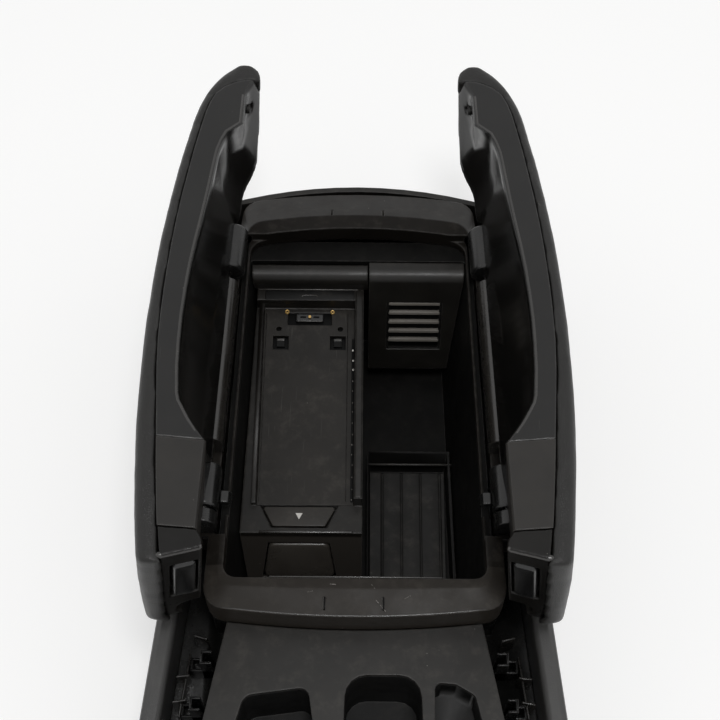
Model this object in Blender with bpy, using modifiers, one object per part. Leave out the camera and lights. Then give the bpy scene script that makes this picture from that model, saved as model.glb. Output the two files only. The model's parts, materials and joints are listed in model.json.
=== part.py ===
"""Centre console armrest with two side-hinged lids, opened over a storage tub with a phone cradle.

Metres. +X is the right side, +Y the rear and +Z up. The sizes below are measured from the top
face of the rim (height 0), its plane of symmetry (x 0) and the front edge of the opening (y 0).
The root empty then stands the console on its base, centred over the origin.
"""

import math

import bmesh
import bpy
from mathutils import Matrix, Vector

# Clearances
seat_gap = 0.0003
running_gap = 0.0008
insert_gap = 0.0009
join_depth = 0.0010
merge_lap = 0.0001
cutter_overrun = 0.0020

# Opening of the rim
opening_half_front = 0.0840
opening_half_rear = 0.0768
opening_length = 0.2555
opening_rear_bow = 0.0075
opening_front_radius = 0.0080
opening_rear_radius = 0.0120

# Rim collar
rim_band_side = 0.0115
rim_front_length = 0.0180
rim_front_bow = 0.0068
rim_rear_length = 0.0400
rim_corner_radius = 0.0140
rim_flat_rear = 0.0110
rim_front_drop = 0.0030
rim_side_drop = 0.0015
rim_rear_drop = 0.0165
rim_wall = 0.0030
rim_inner_depth = 0.0147
rim_skirt_depth = 0.0300
rim_mark_offset = 0.0185
rim_mark_width = 0.0010
rim_mark_length = 0.0085
rim_mark_depth = 0.0015
rim_mark_lead = 0.0028
rim_wall_share = 0.16
rim_flat_share = 0.28
rim_fillet = 0.0006

# Hinges of the lids
hinge_outset = 0.0155
hinge_taper_deg = 2.2
hinge_height = 0.0060
lid_open_deg = 84.0
pin_radius = 0.0025
pin_seat = 0.0035
pin_end_room = 0.0005
pin_rear_inset = 0.0040
rear_barrel_radius = 0.0120
rear_barrel_front = opening_length - 0.0345
rear_barrel_length = 0.0350
front_barrel_radius = 0.0100
front_barrel_front = 0.0435
front_barrel_length = 0.0300
barrel_edge = 0.0012
rail_radius = 0.0080
rail_front = 0.0900
rail_rear_room = 0.0080
post_radius = 0.0085
post_front = 0.0325
post_length = 0.0095
hinge_end_room = 0.0015
shelf_outboard = 0.0085
trough_depth = 0.0080
trough_lead = 0.0035
hook_reach = 0.0180
hook_width = 0.0080
hook_front = 0.0485
hook_room = 0.0100
hook_height = 0.0060

# Lids, in their closed position: along the hinge from the front, and up from the hinge axis
lid_front = 0.0300
lid_tip = opening_length + 0.0815
lid_split_gap = 0.0004
crown_height = 0.0441
crown_middle = 0.1250
crown_tip_fall = 0.0229
shoulder_drop = 0.0050
lid_outboard = 0.0330
cover_side = 0.0080
cover_thickness = 0.0105
cover_edge_radius = 0.0060
cover_side_radius = 0.0075
cover_side_height = 0.0150
band_front = 0.0125
band_middle = 0.0080
band_rear = 0.0065
shell_rear = lid_tip - 0.0138
panel_front = -0.0080
panel_rear = 0.0480
block_underside = 0.0000
scoop_height = 0.0237
rear_underside = -0.0025
skirt_depth = 0.0110
skirt_width = 0.0260
cap_face_front = 0.0190
cap_face_slope = 0.33
cap_lip = 0.0040
button_inboard = 0.0255
button_middle = 0.0055
button_length = 0.0540
button_height = 0.0160
button_thickness = 0.0050
button_proud = 0.0012
button_travel = 0.0030
button_edge = 0.0016
bumper_size = 0.0060
bumper_v = lid_tip - 0.0290
bumper_from_split = 0.0130
bumper_sink = 0.0036
bumper_proud = 0.0006
tip_round = 0.0475
tip_width = 0.0040
tip_nose = 0.0030
front_round = 0.0045
front_corner = 0.0320
rear_curve_start = lid_tip - 0.1470
rear_curve_power = 1.7
seam_fall = 0.0190
seam_turn = 0.0180
seam_settle = 0.0300
band_step = 0.0010
end_ease = 0.0002
edge_ease = 0.0004
hem_edge = 0.0012
knuckle_reach = 0.0090
lid_pitch = 0.0180

# Storage tub
tub_depth = 0.1240
tub_wall = 0.0025
tub_flange = 0.0050
tub_ledge = 0.0150
tub_rear_ledge = 0.0110
tub_draft_deg = 6.5
tub_front_draft = 0.0100
tub_rear_draft = 0.0050
tub_corner_radius = 0.0025

# Phone cradle in the left half of the tub
cradle_top = 0.0450
cradle_right = 0.0045
cradle_nose = 0.0475
cradle_wall = 0.0025
partition_width = 0.0060
partition_top = 0.0330
cradle_rail_height = 0.0060
cradle_rail_width = 0.0030
plate_width = 0.0657
plate_front = 0.0677
plate_rear_room = 0.0103
plate_thickness = 0.0030
hood_top = 0.0180
hood_bottom = 0.0330
hood_front = opening_length - 0.0240
hood_roll = 0.0080
flap_shift = 0.0038
flap_rear_half = 0.0262
flap_front_half = 0.0186
flap_length = 0.0152
flap_thickness = 0.0022
flap_dip_deg = 10.0
flap_room = 0.0009
flap_edge = 0.0006
release_top_half = 0.0205
release_foot_half = 0.0252
release_length = 0.0320
release_start = 0.0100
release_thickness = 0.0060
release_proud = 0.0012
release_travel = 0.0030
release_edge = 0.0010
release_end_room = 0.0004
block_room = 0.0012
connector_width = 0.0200
connector_depth = 0.0064
connector_height = 0.0034
connector_recess_width = 0.0322
connector_recess_depth = 0.0110
connector_recess_floor = 0.0018
connector_edge = 0.0005
connector_pin_radius = 0.0011
connector_pin_height = 0.0010
connector_from_rear = 0.0075
contact_radius = 0.0017
contact_spread = 0.0148
contact_height = 0.0016
contact_taper = 0.70
contact_from_rear = 0.0024
hole_radius = 0.0020
hole_spread = 0.0223
hole_from_rear = 0.0161
window_size = 0.0114
window_spread = 0.0206
window_from_rear = 0.0275
locking_hook_proud = 0.0012
locking_hook_lean = 0.0010

# Vent panel in the right half of the tub
vent_left = 0.0082
vent_foot_y = opening_length - 0.0525
vent_foot_depth = 0.1010
vent_thickness = 0.0030
vent_roll_front = opening_length - 0.0255
vent_roll_sweep_deg = 72.0
grille_width = 0.0400
grille_height = 0.0460
grille_from_top = 0.0165
grille_left = 0.0215
grille_thickness = 0.0024
grille_rim = 0.0012
slat_count = 5
slat_height = 0.0030

# Tray and ribbed mat on the floor of the tub
tray_left = 0.0080
tray_front = 0.0180
tray_rear = vent_foot_y - 0.0660
tray_rise = 0.0165
tray_wall = 0.0020
tray_lean = 0.75
mat_rear_room = 0.0012
mat_thickness = 0.0030
mat_groove_width = 0.0025
mat_groove_depth = 0.0016
mat_pitch = 0.0141
mat_first_groove = 0.0090
mat_grooves = 4

# Front deck, its wells, and the outer body
deck_depth = 0.0270
deck_thickness = 0.0030
deck_front = 0.1400
deck_half_rear = 0.0820
deck_flare = 0.187
deck_edge_radius = 0.0012
deck_corner_radius = 0.0030
well_wall = 0.0020
left_well_depth = 0.0550
centre_well_depth = 0.0620
right_well_depth = 0.0300
body_depth = 0.1500
floor_thickness = 0.0030
carrier_wall = 0.0040
ring_front_inset = 0.0040
ring_rear_inset = 0.0120
ring_side_inset = 0.0020
ring_step = 0.0010
gutter_depth = 0.0720
gutter_floor = 0.0030
side_top = 0.0350
side_thickness = 0.0140
side_half_front = 0.1405
side_half_middle = 0.1288
side_half_rear = 0.1000
side_rear = opening_length + 0.0350
side_edge_radius = 0.0040
rear_panel_thickness = 0.0040
front_panel_thickness = 0.0040
rear_panel_top = 0.0190
rear_panel_bow = 0.0165
clip_count = 3
clip_length = 0.0090
clip_height = 0.0340
clip_inboard_room = 0.0046
clip_share = 0.50
clip_top_share = 0.50
clip_step_low = 0.50
clip_step_high = 0.62
clip_first = 0.0450
clip_pitch = 0.0300

hinge_half_front = opening_half_front + hinge_outset
hinge_slope = math.tan(math.radians(hinge_taper_deg))
rear_centre = opening_length + opening_rear_bow
round_steps = 24
corner_steps = 5
roll_steps = 4
cap_steps = 5
fill_scale = 1000.0


# Scene and materials

for old in list(bpy.data.objects):
    bpy.data.objects.remove(old, do_unlink=True)

parts = bpy.data.collections.new("center_console_armrest")
cutters = bpy.data.collections.new("cutters")
bpy.context.scene.collection.children.link(parts)
bpy.context.scene.collection.children.link(cutters)


def material(name, colour, roughness, metallic=0.0):
    made = bpy.data.materials.new(name)
    made.use_nodes = True
    shader = made.node_tree.nodes["Principled BSDF"]
    shader.inputs["Base Color"].default_value = (*colour, 1.0)
    shader.inputs["Roughness"].default_value = roughness
    shader.inputs["Metallic"].default_value = metallic
    return made


def empty(name, location, parent=None, rotation=(0.0, 0.0, 0.0)):
    made = bpy.data.objects.new(name, None)
    made.location = location
    made.rotation_euler = rotation
    made.parent = parent
    parts.objects.link(made)
    return made


root = empty("console_root", (0.0, (deck_front - lid_tip) / 2, body_depth))


# Building blocks

def solid(name, mesh, colour, parent=root, roughness=0.5, metallic=0.0, cutter=False):
    """An object from a mesh, as a finished piece or as a hidden cutter."""
    made = bpy.data.objects.new(name, mesh)
    made.parent = parent
    if cutter:
        made.hide_render = True
        made.display_type = "WIRE"
        cutters.objects.link(made)
    else:
        mesh.materials.append(material(name + "_finish", colour, roughness, metallic))
        parts.objects.link(made)
    return made


def mesh_from(shape, smooth_deg=35.0):
    """A mesh with its faces pointing out, smooth where it is round."""
    bmesh.ops.recalc_face_normals(shape, faces=shape.faces)
    mesh = bpy.data.meshes.new("shape")
    shape.to_mesh(mesh)
    shape.free()
    mesh.shade_smooth()
    mesh.set_sharp_from_angle(angle=math.radians(smooth_deg))
    return mesh


def box_mesh(low, high):
    shape = bmesh.new()
    bmesh.ops.create_cube(shape, size=1.0)
    size = [high[i] - low[i] for i in range(3)]
    middle = [(high[i] + low[i]) / 2 for i in range(3)]
    bmesh.ops.scale(shape, vec=size, verts=shape.verts)
    bmesh.ops.translate(shape, vec=middle, verts=shape.verts)
    return mesh_from(shape)


def rod_mesh(radius, start, end, steps=round_steps, end_radius=None):
    """A round bar between two points."""
    start, end = Vector(start), Vector(end)
    far_radius = radius if end_radius is None else end_radius
    shape = bmesh.new()
    bmesh.ops.create_cone(shape, cap_ends=True, segments=steps, radius1=radius,
                          radius2=far_radius, depth=(end - start).length)
    turn = (end - start).to_track_quat("Z", "Y").to_matrix().to_4x4()
    place = Matrix.Translation((start + end) / 2) @ turn
    bmesh.ops.transform(shape, matrix=place, verts=shape.verts)
    return mesh_from(shape)


def plate_mesh(loops, low, high, plane="XY"):
    """A flat outline with holes, as a filled curve, thickened from low to high.

    The curve is filled at a thousand times its size, where small holes are filled cleanly.
    In plane XZ the outline's second value is height and the thickness runs along Y.
    In plane YZ the outline's first value is y and the thickness runs along X.
    """
    curve = bpy.data.curves.new("outline", "CURVE")
    curve.dimensions = "2D"
    curve.fill_mode = "BOTH"
    curve.extrude = (high - low) / 2 * fill_scale
    for loop in loops:
        spline = curve.splines.new("POLY")
        spline.points.add(len(loop) - 1)
        for point, (first, second) in zip(spline.points, loop):
            point.co = (first * fill_scale, second * fill_scale, 0.0, 1.0)
        spline.use_cyclic_u = True
    holder = bpy.data.objects.new("outline", curve)
    cutters.objects.link(holder)
    graph = bpy.context.evaluated_depsgraph_get()
    mesh = bpy.data.meshes.new_from_object(holder.evaluated_get(graph))
    bpy.data.objects.remove(holder, do_unlink=True)
    bpy.data.curves.remove(curve)
    shape = bmesh.new()
    shape.from_mesh(mesh)
    bpy.data.meshes.remove(mesh)
    bmesh.ops.remove_doubles(shape, verts=shape.verts, dist=0.001)
    bmesh.ops.scale(shape, vec=[1 / fill_scale] * 3, verts=shape.verts)
    middle = (low + high) / 2
    turns = {
        "XY": Matrix(((1, 0, 0, 0), (0, 1, 0, 0), (0, 0, 1, middle), (0, 0, 0, 1))),
        "XZ": Matrix(((1, 0, 0, 0), (0, 0, 1, middle), (0, 1, 0, 0), (0, 0, 0, 1))),
        "YZ": Matrix(((0, 0, 1, middle), (1, 0, 0, 0), (0, 1, 0, 0), (0, 0, 0, 1))),
    }
    bmesh.ops.transform(shape, matrix=turns[plane], verts=shape.verts)
    return mesh_from(shape)


def skin_mesh(sections, closed_length=False, smooth_deg=35.0):
    """A skin over closed sections with the same number of points, capped at its two ends."""
    shape = bmesh.new()
    rings = [[shape.verts.new(point) for point in section] for section in sections]
    count = len(rings[0])
    pairs = list(zip(rings, rings[1:]))
    if closed_length:
        pairs.append((rings[-1], rings[0]))
    for near, far in pairs:
        for i in range(count):
            j = (i + 1) % count
            shape.faces.new((near[i], near[j], far[j], far[i]))
    if not closed_length:
        shape.faces.new(rings[0])
        shape.faces.new(rings[-1])
    return mesh_from(shape, smooth_deg)


def boolean(target, other, operation="DIFFERENCE"):
    step = target.modifiers.new(operation.lower(), "BOOLEAN")
    step.operation = operation
    step.solver = "EXACT"
    step.object = other


def cut(target, mesh, name):
    boolean(target, solid(name, mesh, None, parent=target.parent, cutter=True))


def join(target, mesh, name):
    boolean(target, solid(name, mesh, None, parent=target.parent, cutter=True), "UNION")


def bevel(target, width, segments=2, angle_deg=40.0):
    step = target.modifiers.new("rounded_edges", "BEVEL")
    step.width = width
    step.segments = segments
    step.limit_method = "ANGLE"
    step.angle_limit = math.radians(angle_deg)
    step.use_clamp_overlap = True


def rounded(corners, steps=corner_steps):
    """An outline from corners (first, second, radius), each with radius turned by an arc."""
    outline = []
    count = len(corners)
    for i, (x, y, radius) in enumerate(corners):
        here = Vector((x, y))
        if radius <= 0:
            outline.append((x, y))
            continue
        before = (Vector(corners[i - 1][:2]) - here).normalized()
        after = (Vector(corners[(i + 1) % count][:2]) - here).normalized()
        half = before.angle(after) / 2
        centre = here + (before + after).normalized() * (radius / math.sin(half))
        start = here + before * (radius / math.tan(half)) - centre
        end = here + after * (radius / math.tan(half)) - centre
        sweep = start.angle_signed(end)
        for step in range(steps + 1):
            turn = Matrix.Rotation(-sweep * step / steps, 2)
            outline.append(tuple(centre + turn @ start))
    return outline


def bowed(half, y_side, bow, radius=0.0, steps=4, from_left=True):
    """An edge from side to side that bows by bow at its middle."""
    points = []
    for step in range(-steps, steps + 1):
        x = half * step / steps
        y = y_side + bow * (1 - (step / steps) ** 2)
        points.append((x if from_left else -x, y, radius if abs(step) == steps else 0.0))
    return points


def smooth_value(keys, at):
    """A smooth curve through a few (place, value) keys, flat beyond its ends."""
    if at <= keys[0][0]:
        return keys[0][1]
    if at >= keys[-1][0]:
        return keys[-1][1]
    for i in range(len(keys) - 1):
        (x0, y0), (x1, y1) = keys[i], keys[i + 1]
        if at <= x1:
            break
    slope = (y1 - y0) / (x1 - x0)
    before = slope if i == 0 else (y0 - keys[i - 1][1]) / (x0 - keys[i - 1][0])
    after = slope if i + 2 == len(keys) else (keys[i + 2][1] - y1) / (keys[i + 2][0] - x1)
    m0 = 0.0 if before * slope <= 0 else 2 * before * slope / (before + slope)
    m1 = 0.0 if after * slope <= 0 else 2 * after * slope / (after + slope)
    t = (at - x0) / (x1 - x0)
    rise = (2 * t ** 3 - 3 * t ** 2 + 1) * y0 + (3 * t ** 2 - 2 * t ** 3) * y1
    return rise + (x1 - x0) * ((t ** 3 - 2 * t ** 2 + t) * m0 + (t ** 3 - t ** 2) * m1)


# Finishes
black_plastic = (0.016, 0.016, 0.017)
soft_plastic = (0.020, 0.020, 0.021)
dark_leather = (0.014, 0.014, 0.015)
gloss_black = (0.006, 0.006, 0.007)
grey_black = (0.026, 0.025, 0.026)
steel = (0.42, 0.42, 0.43)
gold = (0.72, 0.48, 0.16)


# Shapes that several pieces share

def opening_half(y):
    """Half the width of the opening at a distance behind its front edge."""
    return opening_half_front + (opening_half_rear - opening_half_front) * y / opening_length


def hinge_x(y):
    """Distance of the hinge axis from the plane of symmetry."""
    return hinge_half_front - hinge_slope * y


def tub_side(y, depth):
    """Inner face of the tub's side wall at a depth below the rim."""
    draft = math.tan(math.radians(tub_draft_deg)) * max(0.0, depth - tub_ledge)
    return opening_half(y) - draft


def tub_share(depth):
    """How far down the tub's wall a depth lies, from 0 at its top to 1 at its floor."""
    return max(0.0, depth - tub_ledge) / (tub_depth - tub_ledge)


def tub_front(depth):
    """Inner face of the tub's front wall."""
    return tub_front_draft * tub_share(depth)


def tub_rear(depth):
    """Inner face of the tub's rear wall."""
    return opening_length - tub_rear_ledge - tub_rear_draft * tub_share(depth)


def side_stations():
    """Places along the straight sides of the rim, from the rear to the front."""
    rear = opening_length - opening_rear_radius
    return [rear, rear - 0.020, rear / 2, 0.020]


def with_sides(rear_edge, front_edge, half_width):
    """A closed outline from its rear and front edges, with points along its sides."""
    right = [(half_width(y), y, 0.0) for y in side_stations()]
    left = [(-x, y, 0.0) for x, y, radius in reversed(right)]
    return rounded(rear_edge + right + front_edge + left)


def rim_outer_half(y, inset):
    return hinge_x(y) - hinge_outset + rim_band_side - inset


def rim_outer_outline(inset):
    """The rim's outline seen from above, moved in by inset."""
    rear = opening_length + rim_rear_length - inset
    front = -rim_front_length + inset
    radius = rim_corner_radius - inset
    rear_edge = bowed(rim_outer_half(rear, inset), rear, opening_rear_bow, radius)
    front_edge = bowed(rim_outer_half(front, inset), front, -rim_front_bow, radius, 4, False)
    return with_sides(rear_edge, front_edge, lambda y: rim_outer_half(y, inset))


def rim_inner_outline():
    rear_edge = bowed(opening_half(opening_length), opening_length, opening_rear_bow,
                      opening_rear_radius)
    front_edge = bowed(opening_half_front, 0.0, 0.0, opening_front_radius, 4, False)
    return with_sides(rear_edge, front_edge, opening_half)


# Rim collar

def rim_drop(x, y):
    """How far the rim's outer edge lies below its top face."""
    keys = [(-rim_front_length, rim_front_drop), (0.0, rim_side_drop),
            (opening_length - 0.02, rim_side_drop), (opening_length + 0.02, rim_rear_drop)]
    return smooth_value(keys, y)


def rim_loop(share, inset, depth=None, roof=0.0):
    """A loop on the rim, from the opening (share 0) to the outer edge (share 1)."""
    loop = []
    for (xi, yi), (xo, yo) in zip(rim_inner_outline(), rim_outer_outline(inset)):
        x = xi + (xo - xi) * share
        y = yi + (yo - yi) * share
        height = -depth if depth is not None else -rim_drop(x, y) * (share > 0.9) - roof
        loop.append((x, y, height))
    return loop


def make_rim():
    sections = [
        rim_loop(0.0, 0.0, rim_inner_depth),
        rim_loop(0.0, 0.0, 0.0),
        rim_loop(rim_flat_share, 0.0, 0.0),
        rim_loop(1.0, 0.0),
        rim_loop(1.0, 0.0, rim_skirt_depth),
        rim_loop(1.0, rim_wall, rim_skirt_depth),
        rim_loop(1.0, rim_wall, None, rim_wall),
        rim_loop(rim_flat_share, 0.0, rim_wall),
        rim_loop(rim_wall_share, 0.0, rim_wall + rim_fillet),
        rim_loop(rim_wall_share, 0.0, rim_inner_depth),
    ]
    rim = solid("rim_frame", skin_mesh(sections, closed_length=True), black_plastic)
    trough_front = post_front - trough_lead
    trough_rear = barrel_rear + hinge_end_room
    wide = hinge_half_front + rim_front_length
    for side in (-1, 1):
        inboard = hinge_outset - rim_band_side + rim_wall / 2
        low_x, high_x = sorted((side * shelf_outboard, -side * inboard))
        shelf = box_mesh((low_x, trough_front, -rim_skirt_depth - hinge_height + join_depth),
                         (high_x, trough_rear, -trough_depth - hinge_height + rim_wall))
        shelf.transform(hinge_frame(side))
        join(rim, shelf, f"hinge_shelf_adder_{side + 1}")
    trough = box_mesh((-wide, trough_front, -trough_depth), (wide, trough_rear, rim_wall))
    cut(rim, trough, "rim_trough_cutter")
    for side in (-1, 1):
        far = side * (hinge_x(hook_front) + rim_wall)
        near = side * (opening_half(hook_front) - rim_wall)
        low = (min(far, near), hook_front - rim_wall, -hook_reach + hinge_height - rim_wall)
        high = (max(far, near), hook_front + hook_width + rim_wall, 0.0)
        cut(rim, box_mesh(low, high), f"hook_slot_cutter_{side + 1}")
    for x in (-rim_mark_offset - rim_mark_width, rim_mark_offset - rim_mark_width):
        for y in (-rim_front_length - rim_mark_lead, rear_centre + rim_flat_rear):
            low = (x, y, -rim_mark_depth - rim_wall * (y > 0))
            high = (x + rim_mark_width, y + rim_mark_length, rim_wall)
            cut(rim, box_mesh(low, high), "rim_mark_cutter")
    return rim


# Storage tub

def make_tub():
    depth = tub_depth
    in_side = tub_side(0.0, depth) - opening_half(0.0)

    def loop(outset, level, shift=0.0):
        """A loop of the tub's wall at a depth, with the draft of its four sides."""
        rear = tub_rear(level) + outset
        front = tub_front(level) - outset
        half_rear = opening_half(rear) + in_side * tub_share(level) + outset
        half_front = opening_half(front) + in_side * tub_share(level) + outset
        radius = tub_corner_radius + outset
        corners = [(half_front, front, radius), (-half_front, front, radius),
                   (-half_rear, rear, radius), (half_rear, rear, radius)]
        return [(x, y, -level) for x, y in rounded(corners)]

    flange_low = tub_ledge + tub_wall
    sections = [
        loop(0.0, depth),
        loop(0.0, tub_ledge),
        loop(tub_flange, tub_ledge),
        loop(tub_flange, flange_low),
        loop(tub_wall, flange_low),
        loop(tub_wall, depth + tub_wall),
    ]
    for i in (2, 3):
        sections[i] = [(x, y + (tub_rear_ledge if y > opening_length / 2 else 0.0), z)
                       for x, y, z in sections[i]]
    return solid("storage_tub", skin_mesh(sections), soft_plastic)


def make_tray():
    """A shallow tray on the tub's floor, and the ribbed mat in it."""
    floor = tub_depth - seat_gap
    top = tub_depth - tray_rise
    lean = (tray_rise - mat_thickness) * tray_lean

    def loop(inset, level, wall=0.0):
        share = (floor - level) / tray_rise
        rear = tray_rear - lean * (1 - share) - inset
        side = tub_side(rear, level) - insert_gap - inset
        front = tray_front + inset
        side_front = tub_side(front, level) - insert_gap - inset
        left = tray_left + inset
        return [(left, front, -level), (side_front, front, -level),
                (side, rear, -level), (left, rear, -level)]

    base = floor - tray_wall
    sections = [loop(tray_wall, base), loop(tray_wall, top), loop(0.0, top), loop(0.0, floor)]
    solid("mat_tray", skin_mesh(sections), black_plastic)

    low = -base + seat_gap
    high = low + mat_thickness
    rear = tray_rear - lean - tray_wall - mat_rear_room
    front = tray_front + tray_wall + seat_gap
    left = tray_left + tray_wall + seat_gap
    right = tub_side(rear, tub_depth) - tray_wall - insert_gap - seat_gap
    outline = [(left, low), (right, low), (right, high)]
    for i in reversed(range(mat_grooves)):
        centre = left + mat_first_groove + mat_pitch * i
        outline += [(centre + mat_groove_width / 2, high),
                    (centre + mat_groove_width / 4, high - mat_groove_depth),
                    (centre - mat_groove_width / 4, high - mat_groove_depth),
                    (centre - mat_groove_width / 2, high)]
    outline += [(left, high)]
    solid("ribbed_mat", plate_mesh([outline], front, rear, "XZ"), grey_black, roughness=0.7)


# Vent panel

def roll_points(front, top, sweep_deg=90.0):
    """The rounded front edge of a bar, seen from the side, from its top round to its front."""
    points = []
    for step in range(roll_steps + 1):
        angle = math.radians(sweep_deg * step / roll_steps)
        points.append((front + hood_roll * (1 - math.sin(angle)),
                       top - hood_roll * (1 - math.cos(angle))))
    return points


def make_vent():
    """The leaning panel with its rolled top edge, and the louvred grille let into it."""
    ledge_y = tub_rear(tub_ledge) - insert_gap
    top = -tub_ledge - seat_gap
    roll = hood_roll
    fall = Vector((vent_foot_y - vent_roll_front, -vent_foot_depth - top + roll)).normalized()
    front = [(ledge_y, top)] + roll_points(vent_roll_front, top, vent_roll_sweep_deg)
    front.append((vent_foot_y, -vent_foot_depth))
    thick = vent_thickness
    inward = Vector((-fall.y, fall.x))
    back = [(vent_foot_y + inward.x * thick, -vent_foot_depth + inward.y * thick),
            (vent_roll_front + thick, top - roll),
            (vent_roll_front + roll, top - thick), (ledge_y, top - thick)]
    profile = front + back
    left = [(vent_left, y, z) for y, z in profile]
    right = [(tub_side(y, -z) - insert_gap, y, z) for y, z in profile]
    panel = solid("vent_panel", skin_mesh([left, right]), soft_plastic)

    start = Vector((vent_roll_front, top - roll)) + fall * grille_from_top
    middle = start + fall * grille_height / 2
    pitch = math.atan2(fall.y, fall.x)
    frame = Matrix.Translation((grille_left + grille_width / 2, middle.x, middle.y))
    frame = frame @ Matrix.Rotation(pitch - math.pi, 4, "X")

    half_w = grille_width / 2
    half_h = grille_height / 2
    hole = box_mesh((-half_w, -half_h, -thick * 3), (half_w, half_h, thick * 3))
    hole.transform(frame)
    cut(panel, hole, "grille_hole_cutter")

    half_w -= seat_gap
    half_h -= seat_gap
    loops = [[(-half_w, -half_h), (half_w, -half_h), (half_w, half_h), (-half_w, half_h)]]
    inner = grille_rim
    pitch_y = (2 * half_h - inner) / slat_count
    for i in range(slat_count):
        low = -half_h + inner + pitch_y * i
        high = low + pitch_y - slat_height
        loops.append([(-half_w + inner, low), (half_w - inner, low),
                      (half_w - inner, high), (-half_w + inner, high)])
    grille = plate_mesh(loops, -grille_thickness / 2, grille_thickness / 2)
    shift = Matrix.Translation((0.0, 0.0, -thick / 2))
    grille.transform(frame @ shift)
    solid("vent_grille", grille, black_plastic)


# Phone cradle

plate_rear = hood_front - plate_rear_room
plate_right = cradle_right - partition_width - seat_gap
plate_middle = plate_right - plate_width / 2
flap_middle = plate_middle - flap_shift
rest_depth = cradle_top + plate_thickness + seat_gap


def nose_y(depth):
    """The leaning front face of the cradle."""
    share = (depth - cradle_top) / (tub_depth - cradle_top)
    toe = tub_front(tub_depth) + insert_gap
    return cradle_nose + (toe - cradle_nose) * share


def cradle_rear(depth):
    return tub_rear(depth) - insert_gap


def cradle_left(y, depth):
    return -tub_side(y, depth) + insert_gap


def make_cradle():
    floor = tub_depth - seat_gap

    def loop(level, inset=0.0):
        front = nose_y(level)
        rear = cradle_rear(level)
        return [(cradle_left(front, level) + inset, front + inset, -level),
                (cradle_right - inset, front + inset, -level),
                (cradle_right - inset, rear - inset, -level),
                (cradle_left(rear, level) + inset, rear - inset, -level)]

    housing = solid("cradle_housing", skin_mesh([loop(floor), loop(cradle_top)]), soft_plastic)
    roof = rest_depth + cradle_wall
    hollow = [loop(floor + cradle_wall, cradle_wall), loop(roof, cradle_wall)]
    cut(housing, skin_mesh(hollow), "cradle_hollow_cutter")
    recess = box_mesh((plate_right - plate_width - seat_gap, plate_front - seat_gap, -rest_depth),
                      (plate_right + seat_gap, plate_rear + seat_gap, 0.0))
    wall = box_mesh((cradle_right - partition_width, plate_front, -rest_depth + merge_lap),
                    (cradle_right - merge_lap, hood_front - seat_gap, -partition_top))
    join(housing, wall, "partition_adder")
    block_rear = cradle_rear(cradle_top) - 2 * merge_lap
    block_left = cradle_left(block_rear, cradle_top) + 2 * merge_lap
    rear_block = box_mesh((block_left, plate_rear + block_room, -rest_depth + merge_lap),
                          (cradle_right - 2 * merge_lap, block_rear, -hood_bottom - seat_gap))
    join(housing, rear_block, "rear_block_adder")
    rail_right = plate_right - plate_width - seat_gap * 2
    rail = box_mesh((rail_right - cradle_rail_width, plate_front, -cradle_top - join_depth),
                    (rail_right, plate_rear + block_room + seat_gap, -cradle_top + cradle_rail_height))
    join(housing, rail, "cradle_rail_adder")
    cut(housing, recess, "plate_recess_cutter")
    return housing


def flap_outline(grow):
    rear = plate_front - flap_room + grow
    front = rear - flap_length - 2 * grow
    wide = flap_rear_half + grow
    narrow = flap_front_half + grow
    return [(flap_middle - wide, rear), (flap_middle - narrow, front),
            (flap_middle + narrow, front), (flap_middle + wide, rear)]


def make_flap(housing):
    pivot_y = plate_front - flap_room - flap_length
    hinge = empty("latch_flap_hinge", (flap_middle, pivot_y, -cradle_top - flap_thickness), root)
    mesh = plate_mesh([flap_outline(0.0)], -cradle_top - flap_thickness, -cradle_top)
    mesh.transform(Matrix.Translation(-hinge.location))
    flap = solid("latch_flap", mesh, black_plastic, parent=hinge)
    bevel(flap, flap_edge, 1)
    reach = flap_length * math.sin(math.radians(flap_dip_deg)) + running_gap
    low = -cradle_top - flap_thickness - reach
    pocket = plate_mesh([flap_outline(running_gap / 2)], low, 0.0)
    cut(housing, pocket, "flap_pocket_cutter")


def face_frame(along):
    """A frame on the cradle's leaning face, along down it: x across, y up the face, z out of it."""
    top = Vector((0.0, nose_y(cradle_top), -cradle_top))
    foot = Vector((0.0, nose_y(tub_depth), -tub_depth))
    across = Vector((1.0, 0.0, 0.0))
    up = (top - foot).normalized()
    turn = Matrix((across, up, across.cross(up))).transposed().to_4x4()
    place = top - up * along
    place.x = flap_middle
    return Matrix.Translation(place) @ turn


def make_release_button(housing):
    frame = face_frame(release_start)
    grow = running_gap / 2

    def outline(extra):
        return [(-release_foot_half - extra, -release_length - extra),
                (release_foot_half + extra, -release_length - extra),
                (release_top_half + extra, extra), (-release_top_half - extra, extra)]

    deep = release_thickness + release_travel - release_proud
    pocket = plate_mesh([outline(grow)], -deep - release_end_room, release_thickness)
    pocket.transform(frame)
    cut(housing, pocket, "release_pocket_cutter")
    slide = empty("release_button_slide", frame.to_translation(), root)
    body = plate_mesh([outline(0.0)], release_proud - release_thickness, release_proud)
    body.transform(Matrix.Translation(-frame.to_translation()) @ frame)
    button = solid("release_button", body, black_plastic, parent=slide)
    bevel(button, release_edge, 2)


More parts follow.
